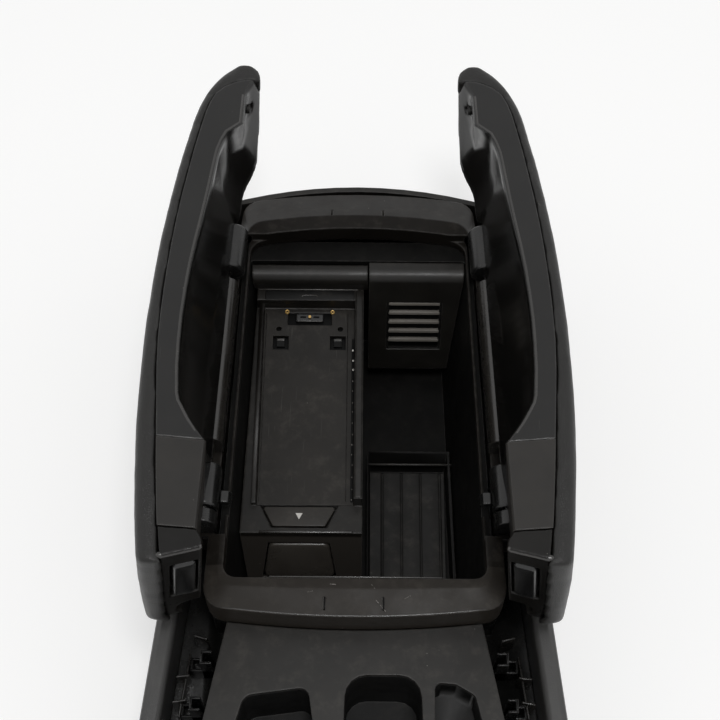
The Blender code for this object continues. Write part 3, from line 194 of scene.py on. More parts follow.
def ranged(tree, value, low, high, to_low=0.0, to_high=1.0):
    """value, moved smoothly from the range low to high into the range to_low to to_high."""
    made = put(tree, "ShaderNodeMapRange", interpolation_type="SMOOTHSTEP")
    made.inputs["From Min"].default_value = low
    made.inputs["From Max"].default_value = high
    made.inputs["To Min"].default_value = to_low
    made.inputs["To Max"].default_value = to_high
    tree.links.new(value, made.inputs["Value"])
    return made.outputs["Result"]


def combined(tree, operation, first, second):
    """first and second, multiplied or added. The second may be a plain number."""
    made = put(tree, "ShaderNodeMath", operation=operation)
    tree.links.new(first, made.inputs[0])
    if isinstance(second, float):
        made.inputs[1].default_value = second
    else:
        tree.links.new(second, made.inputs[1])
    return made.outputs[0]


def times(tree, first, second):
    return combined(tree, "MULTIPLY", first, second)


def plus(tree, first, second):
    return combined(tree, "ADD", first, second)


def tinted(tree, colour, other, share):
    """colour, a tuple or a socket, turned towards a fixed other colour by share."""
    made = put(tree, "ShaderNodeMix", data_type="RGBA")
    factor, first, second = made.inputs[0], made.inputs[6], made.inputs[7]
    tree.links.new(share, factor)
    if isinstance(colour, tuple):
        first.default_value = (*colour, 1.0)
    else:
        tree.links.new(colour, first)
    second.default_value = (*other, 1.0)
    return made.outputs[2]


def surface(name, colour, light, roughness, spread=0.10, grain="fine", grain_size=0.0007,
            grain_depth=0.00002, grain_strength=0.35, round_edge=0.0008, edge_tint=0.45,
            edge_colour=(0.10, 0.095, 0.09), dust=0.10, specks=0.15, scratch=0.0, metallic=0.0,
            specular=0.29, mottle_size=0.03, front_y=None, front_painted_light=None, rubs=()):
    """A material for plastic, leather, rubber or metal, in the object's own coordinates.

    Its tone drifts between colour and light, its edges are softly rounded and rubbed pale, fine
    dust lies on what faces up, and a few specks lie anywhere. The creases of leather grain are
    darkened as painted shade. What lies ahead of front_y takes a lighter front colour, painted
    light where more light falls. rubs are chafed patches: a centre, a reach and a strength each.
    """
    made = bpy.data.materials.new(name)
    made.use_nodes = True
    tree = made.node_tree
    shader = tree.nodes["Principled BSDF"]
    shader.inputs["Metallic"].default_value = metallic
    shader.inputs["Specular IOR Level"].default_value = specular
    where = put(tree, "ShaderNodeTexCoord")
    coords = where.outputs["Object"]

    tone = ranged(tree, noise_of(tree, coords, mottle_size, 5.0, 0.6), 0.30, 0.72)
    shade = tinted(tree, colour, light, tone)

    # Painted light: ahead of front_y the colour turns lighter, standing in for the light on a
    # front.
    if front_y is not None:
        split = put(tree, "ShaderNodeSeparateXYZ")
        tree.links.new(coords, split.inputs[0])
        ahead = ranged(tree, split.outputs["Y"], front_y - front_fade, front_y, 1.0, 0.0)
        shade = tinted(tree, shade, front_painted_light, ahead)

    if grain == "leather":
        wobble = put(tree, "ShaderNodeTexNoise")
        wobble.inputs["Scale"].default_value = 0.6 / grain_size
        tree.links.new(coords, wobble.inputs["Vector"])
        shift = put(tree, "ShaderNodeVectorMath", operation="SCALE")
        shift.inputs["Scale"].default_value = grain_size * 0.9
        tree.links.new(wobble.outputs["Color"], shift.inputs[0])
        moved = put(tree, "ShaderNodeVectorMath", operation="ADD")
        tree.links.new(coords, moved.inputs[0])
        tree.links.new(shift.outputs[0], moved.inputs[1])
        cells = put(tree, "ShaderNodeTexVoronoi", feature="DISTANCE_TO_EDGE")
        cells.inputs["Scale"].default_value = 1.0 / grain_size
        tree.links.new(moved.outputs[0], cells.inputs["Vector"])
        pebble = ranged(tree, cells.outputs["Distance"], 0.0, 0.28)
        fine = noise_of(tree, coords, grain_size * 0.35, 2.0)
        height = plus(tree, pebble, times(tree, fine, 0.25))
        # Painted shade: the grain's creases are darkened.
        crease = ranged(tree, cells.outputs["Distance"], 0.0, 0.10, 0.35, 0.0)
        shade = tinted(tree, shade, tuple(c * crease_share for c in colour), crease)
    else:
        height = noise_of(tree, coords, grain_size, 2.0, 0.6)

    rounded = put(tree, "ShaderNodeBevel", samples=bevel_samples)
    rounded.inputs["Radius"].default_value = round_edge
    facing = put(tree, "ShaderNodeNewGeometry")
    agree = put(tree, "ShaderNodeVectorMath", operation="DOT_PRODUCT")
    tree.links.new(rounded.outputs[0], agree.inputs[0])
    tree.links.new(facing.outputs["Normal"], agree.inputs[1])
    at_edge = ranged(tree, agree.outputs["Value"], 0.86, 0.992, 1.0, 0.0)
    patchy = ranged(tree, noise_of(tree, coords, wear_size, 4.0, 0.65), 0.42, 0.62)
    worn = times(tree, at_edge, plus(tree, times(tree, patchy, 0.7), 0.3))
    shade = tinted(tree, shade, edge_colour, times(tree, worn, edge_tint))

    if dust:
        apart = put(tree, "ShaderNodeSeparateXYZ")
        tree.links.new(where.outputs["Normal"], apart.inputs[0])
        upward = ranged(tree, apart.outputs["Z"], 0.5, 0.98)
        drift = ranged(tree, noise_of(tree, coords, dust_size, 8.0, 0.72), 0.46, 0.78)
        settled = times(tree, upward, drift)
        shade = tinted(tree, shade, dust_tone, times(tree, settled, dust))
    if scratch:
        streaks = noise_of(tree, coords, scratch_size, 3.0, 0.5, (1.0, 0.035, 1.0))
        hair = ranged(tree, streaks, 0.66, 0.74)
        shade = tinted(tree, shade, scratch_tone, times(tree, hair, scratch))
    if specks:
        dots = put(tree, "ShaderNodeTexVoronoi", feature="F1")
        dots.inputs["Scale"].default_value = speck_pitch
        tree.links.new(coords, dots.inputs["Vector"])
        near = ranged(tree, dots.outputs["Distance"], 0.035, 0.075, 1.0, 0.0)
        pick = put(tree, "ShaderNodeSeparateColor")
        tree.links.new(dots.outputs["Color"], pick.inputs[0])
        chosen = ranged(tree, pick.outputs[0], 0.955, 0.965)
        dotted = times(tree, near, chosen)
        shade = tinted(tree, shade, speck_tone, times(tree, dotted, specks))
    for centre, reach, strength in rubs:
        off = put(tree, "ShaderNodeVectorMath", operation="DISTANCE")
        tree.links.new(coords, off.inputs[0])
        off.inputs[1].default_value = centre
        close = ranged(tree, off.outputs["Value"], reach * 0.35, reach, 1.0, 0.0)
        grit = ranged(tree, noise_of(tree, coords, rub_size, 5.0, 0.75), 0.55, 0.66)
        chafed = times(tree, close, grit)
        shade = tinted(tree, shade, rub_tone, times(tree, chafed, strength))
    tree.links.new(shade, shader.inputs["Base Color"])

    sheen = ranged(tree, noise_of(tree, coords, sheen_size, 4.0, 0.6), 0.3, 0.7,
                   roughness - spread / 2, roughness + spread / 2)
    tree.links.new(sheen, shader.inputs["Roughness"])

    relief = put(tree, "ShaderNodeBump")
    relief.inputs["Strength"].default_value = grain_strength
    relief.inputs["Distance"].default_value = grain_depth
    tree.links.new(height, relief.inputs["Height"])
    tree.links.new(rounded.outputs[0], relief.inputs["Normal"])
    tree.links.new(relief.outputs[0], shader.inputs["Normal"])
    return made


# The rim's front band, ahead of front_y, is painted lighter: painted light where more light falls
# on it.
rim_plastic = surface("rim_plastic", (0.0060, 0.0050, 0.0040), (0.0100, 0.0084, 0.0068), 0.38,
                      round_edge=0.0022, specks=0.9, dust=0.12, edge_tint=0.35, specular=0.11,
                      front_y=-0.0900, front_painted_light=(0.0215, 0.0185, 0.0155))
deck_plastic = surface("deck_plastic", (0.0085, 0.0078, 0.0068), (0.0140, 0.0128, 0.0112), 0.40,
                       round_edge=0.0010, specks=0.8, dust=0.14)
black_plastic = surface("black_plastic", (0.0055, 0.0055, 0.0054), (0.0095, 0.0094, 0.0090), 0.27,
                        round_edge=0.0012, dust=0.06, specular=0.42)
# Near-black paint for painted shade: in hook windows, holes, the recess, slots, slits and behind
# the louvres, and on the locking hooks down in their windows.
void_shade_paint = surface("void_shade_paint", (0.0012, 0.0012, 0.0012), (0.0022, 0.0022, 0.0021), 0.50,
                       round_edge=0.0004, dust=0.0, specks=0.0, edge_tint=0.0, specular=0.10)
# Painted shade: the deck's wells and the shade on the cradle's rear block are painted nearly black.
well_shade_paint = surface("well_shade_paint", (0.0022, 0.0022, 0.0021), (0.0036, 0.0035, 0.0033), 0.46,
                       round_edge=0.0012, dust=0.08, specks=0.6, edge_tint=0.2, specular=0.22)
# Painted highlight colour: the lip, lines, hook tips and slit edges that catch the light are
# painted pale.
highlight_paint = surface("highlight_paint", (0.0260, 0.0240, 0.0215), (0.0420, 0.0390, 0.0345), 0.30,
                       round_edge=0.0004, dust=0.10, specks=0.3, specular=0.50)
chalk_white = surface("chalk_white", (0.62, 0.60, 0.56), (0.74, 0.72, 0.68), 0.60,
                      round_edge=0.0001, dust=0.0, specks=0.0, edge_tint=0.0, specular=0.3)
scuff_grey = surface("scuff_grey", (0.13, 0.12, 0.11), (0.30, 0.28, 0.26), 0.60, mottle_size=0.003,
                     round_edge=0.0001, dust=0.0, specks=0.0, edge_tint=0.0, specular=0.3)
# Painted shade: the tub, the mat tray and the grille's frame are painted darker and duller than the
# other black plastic, for the shade deep in the tub.
tub_shade_plastic = surface("tub_shade_plastic", (0.0035, 0.0034, 0.0032), (0.0065, 0.0063, 0.0059), 0.48,
                      round_edge=0.0010, dust=0.03, specks=0.4, specular=0.08)
vent_plastic = surface("vent_plastic", (0.0080, 0.0073, 0.0063), (0.0140, 0.0128, 0.0110), 0.38,
                       round_edge=0.0016, dust=0.14, specks=0.7)
# Painted highlight: the louvre bars are painted pale grey for the light they catch.
slat_highlight_paint = surface("slat_highlight_paint", (0.1500, 0.1390, 0.1230), (0.2000, 0.1860, 0.1650), 0.40,
                       round_edge=0.0006, dust=0.20, specks=0.7)
# The cradle's front face, ahead of front_y, is painted lighter: painted light standing in for the
# light it catches.
cradle_plastic = surface("cradle_plastic", (0.0062, 0.0055, 0.0046), (0.0110, 0.0097, 0.0081),
                         0.36, round_edge=0.0016, dust=0.12, specks=0.6, front_y=-0.0522,
                         front_painted_light=(0.034, 0.030, 0.026), specular=0.25)
# Painted light: the release button is painted lighter, for the light on the cradle's front face.
button_light_paint = surface("button_light_paint", (0.0420, 0.0370, 0.0315), (0.0560, 0.0500, 0.0425), 0.30,
                         round_edge=0.0006, dust=0.05, specks=0.4, specular=0.45)
edge_plastic = surface("edge_plastic", (0.0120, 0.0108, 0.0095), (0.0200, 0.0180, 0.0158), 0.26,
                       round_edge=0.0004, dust=0.05, specks=0.3, specular=0.60)
plate_plastic = surface("plate_plastic", (0.0095, 0.0083, 0.0070), (0.0165, 0.0145, 0.0122), 0.44,
                        round_edge=0.0007, dust=0.16, specks=0.7, scratch=0.22, mottle_size=0.05,
                        specular=0.25)
flap_plastic = surface("flap_plastic", (0.0150, 0.0128, 0.0104), (0.0230, 0.0198, 0.0160), 0.40,
                       round_edge=0.0008, dust=0.14, specks=0.5)
lid_plastic = surface("lid_plastic", (0.0035, 0.0033, 0.0030), (0.0060, 0.0056, 0.0051), 0.22,
                      round_edge=0.0016, dust=0.0, specks=0.35, scratch=0.05, specular=0.36,
                      spread=0.05)
cap_plastic = surface("cap_plastic", (0.0045, 0.0041, 0.0036), (0.0070, 0.0063, 0.0055), 0.32,
                      round_edge=0.0016, dust=0.0, specks=0.35, specular=0.20)
panel_plastic = surface("panel_plastic", (0.0120, 0.0108, 0.0095), (0.0180, 0.0162, 0.0142), 0.36,
                        round_edge=0.0012, dust=0.0, specks=0.35, specular=0.31)
gloss_plastic = surface("gloss_plastic", (0.0060, 0.0060, 0.0060), (0.0080, 0.0080, 0.0080), 0.24,
                        spread=0.05, grain_strength=0.06, round_edge=0.0014, edge_tint=0.10,
                        dust=0.05, specks=0.2, specular=0.5)
leather_rubs = (
    ((0.0956, 0.1946, 0.2540), 0.0070, 0.30), ((0.1038, 0.1668, 0.2530), 0.0060, 0.40),
    ((0.1100, 0.1437, 0.2520), 0.0080, 0.35), ((0.1148, 0.1194, 0.2500), 0.0060, 0.40),
    ((-0.1131, 0.1455, 0.2520), 0.0050, 0.30), ((-0.1165, 0.1266, 0.2510), 0.0050, 0.30),
    ((-0.0870, 0.2319, 0.2400), 0.0070, 0.25),
)
leather = surface("leather", (0.0085, 0.0080, 0.0074), (0.0115, 0.0109, 0.0101), 0.42,
                  spread=0.05, grain="leather", grain_size=0.0013, grain_depth=0.00016,
                  grain_strength=0.6, round_edge=0.0012, edge_tint=0.15, dust=0.0, specks=0.15,
                  specular=0.31, rubs=leather_rubs)
grained_panel = surface("grained_panel", (0.0150, 0.0144, 0.0135), (0.0190, 0.0184, 0.0172), 0.46,
                        spread=0.05, grain="leather", grain_size=0.0011, grain_depth=0.00012,
                        grain_strength=0.55, round_edge=0.0014, edge_tint=0.2, dust=0.05,
                        specks=0.15, specular=0.62)
rubber = surface("rubber", (0.0060, 0.0056, 0.0050), (0.0095, 0.0088, 0.0078), 0.60,
                 round_edge=0.0006, dust=0.16, specks=0.6, edge_tint=0.3, mottle_size=0.012)
steel = surface("steel", (0.40, 0.39, 0.38), (0.55, 0.54, 0.52), 0.30, metallic=1.0,
                edge_tint=0.1, dust=0.0, specks=0.0, specular=0.5)
gold = surface("gold", (0.62, 0.40, 0.13), (0.75, 0.50, 0.19), 0.42, metallic=0.55,
               edge_tint=0.1, dust=0.0, specks=0.0, round_edge=0.0003, specular=0.5)

finish_of = {
    # The tub, the tray and the grille's frame take the darker tub finish: painted shade.
    "rim_frame": rim_plastic, "storage_tub": tub_shade_plastic, "mat_tray": tub_shade_plastic,
    "ribbed_mat": rubber, "vent_panel": vent_plastic, "vent_grille": tub_shade_plastic,
    "cradle_housing": cradle_plastic, "cradle_plate": plate_plastic,
    "cradle_hood": cradle_plastic, "latch_flap": flap_plastic,
    "release_button": flap_plastic, "connector_block": gloss_plastic,
    "connector_pin": gold, "antenna_contact_left": gold, "antenna_contact_right": gold,
    # Painted shade: the locking hooks and the deck's wells are painted near black.
    "locking_hook_left": void_shade_paint, "locking_hook_right": void_shade_paint,
    "front_deck": deck_plastic, "left_well": well_shade_paint, "centre_well": well_shade_paint,
    "right_well": well_shade_paint, "carrier": black_plastic, "rear_panel": deck_plastic,
    "front_panel": black_plastic,
}
finish_by_start = (          # a later row wins
    ("gutter_clip", black_plastic), ("hinge_", black_plastic), ("stop_hook", black_plastic),
    ("hinge_rail", edge_plastic), ("hinge_pin", steel), ("side_panel", grained_panel),
    ("lid_shell", lid_plastic), ("lid_inner_panel", panel_plastic), ("lid_end_cap", cap_plastic),
    ("lid_cover", leather), ("lid_button", gloss_plastic), ("lid_bumper", rubber),
)
for name in nodes:
    for start, finish in finish_by_start:
        if name.startswith(start):
            finish_of[name] = finish


# Pieces

def settle(piece, body, finish):
    """Puts a finished piece on its body, with its material."""
    piece.data.materials.clear()
    piece.data.materials.append(finish)
    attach(piece, body)
    return piece


def stands_for(piece, node):
    """Puts the piece on the node's body, with the node's finish, in its place."""
    settle(piece, body_of[node], finish_of[node])
    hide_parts(node)
    return piece


weld_distance = 0.000004
flat_within = math.radians(0.4)


def copied(node):
    """A new piece in the node's shape, with its split corners joined again."""
    shape = bmesh.new()
    shape.from_mesh(nodes[node].data)
    bmesh.ops.remove_doubles(shape, verts=shape.verts, dist=weld_distance)
    bmesh.ops.dissolve_limit(shape, angle_limit=flat_within, verts=shape.verts,
                             edges=shape.edges, use_dissolve_boundaries=False)
    mesh = bpy.data.meshes.new(node + "_look")
    shape.to_mesh(mesh)
    shape.free()
    piece = bpy.data.objects.new(node + "_look", mesh)
    scene.collection.objects.link(piece)
    return piece


def applied(piece):
    """Turns the piece's modifiers into its mesh."""
    graph = bpy.context.evaluated_depsgraph_get()
    mesh = bpy.data.meshes.new_from_object(piece.evaluated_get(graph))
    piece.modifiers.clear()
    piece.data = mesh
    return piece


def dressed(node, smooth_deg):
    """A smooth-shaded piece in the node's own shape, which stands for the node."""
    piece = copied(node)
    piece.data.shade_smooth()
    piece.data.set_sharp_from_angle(angle=math.radians(smooth_deg))
    even = piece.modifiers.new("even_normals", "WEIGHTED_NORMAL")
    even.keep_sharp = True
    return stands_for(applied(piece), node)


def rounded_off(node, voxel, rounds):
    """A piece in the node's shape, with all its edges and corners rounded."""
    piece = copied(node)
    remesh = piece.modifiers.new("remesh", "REMESH")
    remesh.mode = "VOXEL"
    remesh.voxel_size = voxel
    soften = piece.modifiers.new("soften", "SMOOTH")
    soften.factor = 0.5
    soften.iterations = rounds
    return applied(piece)


def softened(node, voxel, rounds):
    """The node's shape, rounded off, which stands for the node."""
    piece = rounded_off(node, voxel, rounds)
    piece.data.shade_smooth()
    return stands_for(piece, node)


cushion_voxel = 0.0017
cushion_rounds = 9
cushion_lift = 0.00018
cushion_swells = ((38.0, 0.00030), (120.0, 0.00010))     # waves per metre, height


def cushion(node):
    """The leather over its pad: the node's shape, softened all over, with a slight unevenness."""
    piece = rounded_off(node, cushion_voxel, cushion_rounds)
    low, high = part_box(node)
    places = [vertex.co.copy() for vertex in piece.data.vertices]
    normals = [entry.vector.copy() for entry in piece.data.vertex_normals]
    moved = []
    for place, normal in zip(places, normals):
        swell = sum(noise.noise(place * pace) * height for pace, height in cushion_swells)
        spot = place + normal * (swell + cushion_lift)
        moved += [min(max(spot[i], low[i]), high[i]) for i in range(3)]
    piece.data.vertices.foreach_set("co", moved)
    piece.data.update()
    piece.data.shade_smooth()
    stands_for(piece, node)
    return piece


def shaped(name, rings, axes, body, finish):
    """A piece skinned over rings of points, closed at both ends, in axes of its own."""
    count = len(rings[0])
    places = [axes @ Vector(point) for ring in rings for point in ring]
    faces = [list(range(count)), [len(places) - count + i for i in range(count)]]
    for level in range(len(rings) - 1):
        for i in range(count):
            j = (i + 1) % count
            faces.append([level * count + i, level * count + j,
                          (level + 1) * count + j, (level + 1) * count + i])
    mesh = bpy.data.meshes.new(name)
    mesh.from_pydata([tuple(place) for place in places], [], faces)
    shape = bmesh.new()
    shape.from_mesh(mesh)
    bmesh.ops.recalc_face_normals(shape, faces=shape.faces)
    shape.to_mesh(mesh)
    shape.free()
    mesh.shade_smooth()
    mesh.set_sharp_from_angle(angle=math.radians(50.0))
    piece = bpy.data.objects.new(name, mesh)
    scene.collection.objects.link(piece)
    return settle(piece, body, finish)


def arced(corners, radius, steps=5):
    """A convex outline with each of its corners turned by an arc."""
    outline = []
    count = len(corners)
    for i in range(count):
        here = Vector(corners[i])
        before = (Vector(corners[i - 1]) - here).normalized()
        after = (Vector(corners[(i + 1) % count]) - here).normalized()
        half = before.angle(after) / 2
        centre = here + (before + after).normalized() * (radius / math.sin(half))
        start = here + before * (radius / math.tan(half)) - centre
        end = here + after * (radius / math.tan(half)) - centre
        sweep = start.angle_signed(end)
        for step in range(steps + 1):
            outline.append(centre + Matrix.Rotation(-sweep * step / steps, 2) @ start)
    return outline


def drawn_in(outline, amount):
    """A convex outline, counter-clockwise, moved inward by amount."""
    moved = []
    count = len(outline)
    for i in range(count):
        along = (outline[(i + 1) % count] - outline[i - 1]).normalized()
        moved.append(outline[i] + Vector((-along.y, along.x)) * amount)
    return moved


edge_steps = 4
crown_shares = (0.25, 0.5, 0.75, 0.96)     # how far in from the edge the crown's rings lie


def pad(name, corners, radius, low, high, edge, axes, body, finish, crown=0.0):
    """A flat piece on an outline, with rounded corners, a rounded upper edge and a crowned top."""
    outline = arced(corners, radius)
    area = sum(outline[i - 1].cross(outline[i]) for i in range(len(outline)))
    if area < 0:
        outline.reverse()
    rings = [[(p.x, p.y, low) for p in outline]]
    for step in range(edge_steps + 1):
        angle = math.radians(90.0 * step / edge_steps)
        ring = drawn_in(outline, edge * (1 - math.cos(angle)))
        rings.append([(p.x, p.y, high - edge + edge * math.sin(angle)) for p in ring])
    last = [Vector(p[:2]) for p in rings[-1]]
    middle = sum(last, Vector((0.0, 0.0))) / len(last)
    half_x = max(abs(p.x - middle.x) for p in last)
    half_y = max(abs(p.y - middle.y) for p in last)
    for share in crown_shares if crown else ():
        ring = []
        for p in last:
            spot = p + (middle - p) * share
            away = spot - middle
            bulge = (1 - (away.x / half_x) ** 2) * (1 - (away.y / half_y) ** 2)
            ring.append((spot.x, spot.y, high + crown * bulge))
        rings.append(ring)
    return shaped(name, rings, axes, body, finish)


def bead(name, places, radius, body, finish, sides=10):
    """A thin rounded bar along a line of places, with rounded ends."""
    places = [Vector(place) for place in places]
    rings = []
    count = len(places)
    for i, place in enumerate(places):
        along = (places[min(i + 1, count - 1)] - places[max(i - 1, 0)]).normalized()
        across = along.orthogonal() if i == 0 else across - along * across.dot(along)
        across.normalize()
        up = along.cross(across)
        ends = []
        if i == 0:
            ends = [(-0.95, 0.3), (-0.6, 0.8)]
        ends.append((0.0, 1.0))
        if i == count - 1:
            ends += [(0.6, 0.8), (0.95, 0.3)]
        for shift, size in ends:
            centre = place + along * shift * radius
            rings.append([centre + (across * math.cos(math.tau * k / sides)
                          + up * math.sin(math.tau * k / sides)) * radius * size
                          for k in range(sides)])
    return shaped(name, rings, Matrix.Identity(4), body, finish)


def extents(node, axes=None):
    """The low and high corners of the node's box, along the given axes."""
    back = (axes or Matrix.Identity(4)).inverted()
    places = [back @ vertex.co for vertex in nodes[node].data.vertices]
    low = Vector([min(place[i] for place in places) for i in range(3)])
    high = Vector([max(place[i] for place in places) for i in range(3)])
    return low, high


def middle_of(node):
    low, high = extents(node)
    return (low + high) / 2


def oblong(low_x, low_y, high_x, high_y):
    return [(low_x, low_y), (high_x, low_y), (high_x, high_y), (low_x, high_y)]


def square(x, y, half):
    return oblong(x - half, y - half, x + half, y + half)


def aside_of(start, end, half):
    """Half the width of a flat stroke from start to end, as a step to its left."""
    along = (end - start).normalized()
    return Vector((-along.y, along.x)) * half


def axes_at(place, across, up):
    """Axes with their x along across and their y along up."""
    across = Vector(across).normalized()
    up = Vector(up).normalized()
    turn = Matrix((across, up, across.cross(up))).transposed().to_4x4()
    return Matrix.Translation(place) @ turn


flat = Matrix.Identity(4)
console = body_of["rim_frame"]
plate_low, plate_high = extents("cradle_plate")
plate_middle = (plate_low.x + plate_high.x) / 2
plate_top = plate_high.z
mark_proud = 0.00008         # how far a flat mark stands above its face
mark_edge = 0.00005
both_sides = (("left", -1), ("right", 1))


# Phone cradle: painted shade in windows, holes, recess and slots, painted highlights on hook tips,
# slot with dust, symbol

window_half = 0.0055
hook_tip_depth = 0.0020
hole_half = 0.00185
hole_apart = 0.0223          # from the plate's middle line
hole_inset = 0.0161          # from the plate's rear edge


def dress_window(name, side):
    """The floors of a hook's window and of the hole beside it in painted shade, and the hook's tip
    in a painted highlight.
    """
    low, high = extents("locking_hook_" + name)
    middle = (low + high) / 2
    # Painted shade on the floors of the window and of the hole.
    pad("window_floor_" + name, square(middle.x, middle.y, window_half), 0.0006,
        low.z - 0.0003, low.z + 0.0004, 0.0002, flat, console, void_shade_paint)
    # The hook's tip is painted pale: a painted highlight.
    tip = oblong(low.x - 0.0001, high.y - hook_tip_depth, high.x + 0.0001, high.y + 0.0001)
    pad("hook_tip_" + name, tip, 0.0005, high.z - 0.0012, high.z + 0.0001, 0.0005, flat,
        console, highlight_paint)
    hole = square(plate_middle + side * hole_apart, plate_high.y - hole_inset, hole_half)
    pad("hole_floor_" + name, hole, 0.0018, plate_low.z - 0.0002, plate_low.z + 0.0006, 0.0002,
        flat, console, void_shade_paint)


recess_half_x, recess_half_y = 0.0159, 0.0053
connector_lip_half = 0.0088
connector_slot_apart = 0.0048
connector_slot_half = 0.0022


def dress_connector():
    """The recess round the connector and its two slots in painted shade, and its lip in a painted
    highlight.
    """
    low, high = extents("connector_block")
    middle_y = (low.y + high.y) / 2
    # Painted shade in the recess and the slots, and a painted highlight on the lip.
    recess = oblong(plate_middle - recess_half_x, middle_y - recess_half_y,
                    plate_middle + recess_half_x, middle_y + recess_half_y)
    pad("recess_floor", recess, 0.0008, low.z - 0.0003, low.z - 0.00005, 0.0001, flat, console,
        void_shade_paint)
    bead("connector_lip", [(plate_middle - connector_lip_half, low.y, high.z - 0.0002),
         (plate_middle + connector_lip_half, low.y, high.z - 0.0002)], 0.00045, console,
         highlight_paint)
    for side in (-1, 1):
        x = plate_middle + side * connector_slot_apart
        slit = oblong(x - connector_slot_half, middle_y - 0.0007,
                      x + connector_slot_half, middle_y + 0.0009)
        pad(f"connector_slot_{side + 1}", slit, 0.0006, high.z - 0.0006, high.z + 0.00005,
            0.0001, flat, console, void_shade_paint)


contact_outer, contact_inner = 0.0017, 0.0009
contact_sides = 20


def dress_contact(name):
    """A gold ring, which stands for an antenna contact, with painted shade in its eye."""
    node = "antenna_contact_" + name
    low, high = extents(node)
    middle = (low + high) / 2
    profile = [(contact_outer, low.z), (contact_outer, high.z - 0.0005),
               (contact_outer - 0.0003, high.z - 0.0001), (contact_outer - 0.0004, high.z),
               (contact_inner, high.z - 0.0001), (contact_inner - 0.0002, high.z - 0.0005)]
    rings = []
    for r, z in profile:
        angles = [math.tau * k / contact_sides for k in range(contact_sides)]
        rings.append([(middle.x + r * math.cos(a), middle.y + r * math.sin(a), z)
                      for a in angles])
    piece = shaped(node + "_look", rings, flat, body_of[node], gold)
    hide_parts(node)
    # Painted shade in the ring's eye.
    pad("contact_eye_" + name, square(middle.x, middle.y, 0.00055), 0.0005, high.z - 0.0007,
        high.z - 0.0003, 0.0001, flat, console, void_shade_paint)


slot_width = 0.0019
dust_count = 15
dust_pitch = 0.0083
dust_pale_from = 12          # the rearmost grains are larger and white


def dress_plate():
    """The plate's slot in painted shade, with grains of dust in it, and the fine lines along its
    sides.
    """
    slot_right = plate_high.x - 0.0002
    # Painted shade in the slot.
    pad("plate_slot", oblong(slot_right - slot_width, plate_low.y + 0.002, slot_right,
        plate_high.y - 0.024), 0.0008, plate_top - 0.0006, plate_top + mark_proud, mark_edge,
        flat, console, void_shade_paint)
    for i in range(dust_count):
        pale = i >= dust_pale_from
        drift_y = noise.noise(Vector((i * 1.7, 0.3, 0.1)))
        drift_x = noise.noise(Vector((0.2, i * 2.3, 0.7)))
        y = plate_low.y + 0.004 + dust_pitch * i + 0.0022 * drift_y
        x = slot_right - 0.0009 + 0.0005 * drift_x
        size = 0.00028 + 0.00022 * abs(noise.noise(Vector((i * 0.9, 4.1, 0.7))))
        size += 0.0003 * pale
        pad(f"slot_dust_{i}", oblong(x - size, y - size * 1.3, x + size, y + size), size * 0.7,
            plate_top - 0.0002, plate_top + 0.0003, 0.0001, flat, console,
            chalk_white if pale else scuff_grey)
    for name, x, radius in (("frame", plate_low.x + 0.0013, 0.00035),
                            ("inner", plate_high.x - 0.0052, 0.00030)):
        bead(f"plate_{name}_line", [(x, plate_low.y + 0.003, plate_top),
             (x, plate_high.y - 0.004, plate_top)], radius, console, vent_plastic)


block_top = 0.1167           # the rear block behind the plate
block_shade_depth = 0.0088
bracket_line = [(-0.0056, 0.0), (-0.0046, 0.0010), (0.0, 0.0012), (0.0046, 0.0010),
                (0.0056, 0.0)]


def dress_rear_block():
    """Painted shade, a painted highlight line and a painted highlight in a bracket's shape on the
    rear block, and the partition's cap.
    """
    front = plate_high.y + 0.0012
    rear = front + block_shade_depth
    # Painted shade on the block, then a painted highlight line and a painted highlight in a
    # bracket's shape.
    pad("rear_block_shade", oblong(plate_low.x + 0.0005, front + 0.0002, plate_high.x - 0.0005,
        rear), 0.0008, block_top - 0.0004, block_top + mark_proud, mark_edge, flat, console,
        well_shade_paint)
    bead("rear_block_line", [(plate_low.x - 0.0040, rear, block_top + 0.0002),
         (plate_high.x + 0.0020, rear, block_top + 0.0002)], 0.00055, console, highlight_paint)
    bead("rear_block_bracket", [(plate_middle + x, front + 0.0030 + y, block_top + 0.0001)
         for x, y in bracket_line], 0.00045, console, highlight_paint)
    pad("partition_cap", oblong(plate_high.x + 0.0006, plate_low.y + 0.0004,
        plate_high.x + 0.0058, rear), 0.0010, block_top - 0.0002, block_top + 0.0006, 0.0007,
        flat, console, cradle_plastic)


front_face_up = Vector((0.0, 0.42037, 0.90735))          # up the cradle's sloping front
button_taper = 0.0047
flap_taper = 0.0076
symbol_half = 0.0024
symbol_depth = 0.0046
nose_run = 0.0202            # from the plate's front edge to the cradle's nose


def dress_press_symbol():
    """The plain triangle that says which way to press the flap."""
    low, high = extents("latch_flap")
    middle = (low.x + high.x) / 2
    rear = high.y - 0.0050
    pad("press_symbol", [(middle - symbol_half, rear), (middle, rear - symbol_depth),
        (middle + symbol_half, rear)], 0.00015, high.z - 0.0003, high.z + 0.00012, 0.00003,
        flat, body_of["latch_flap"], chalk_white)


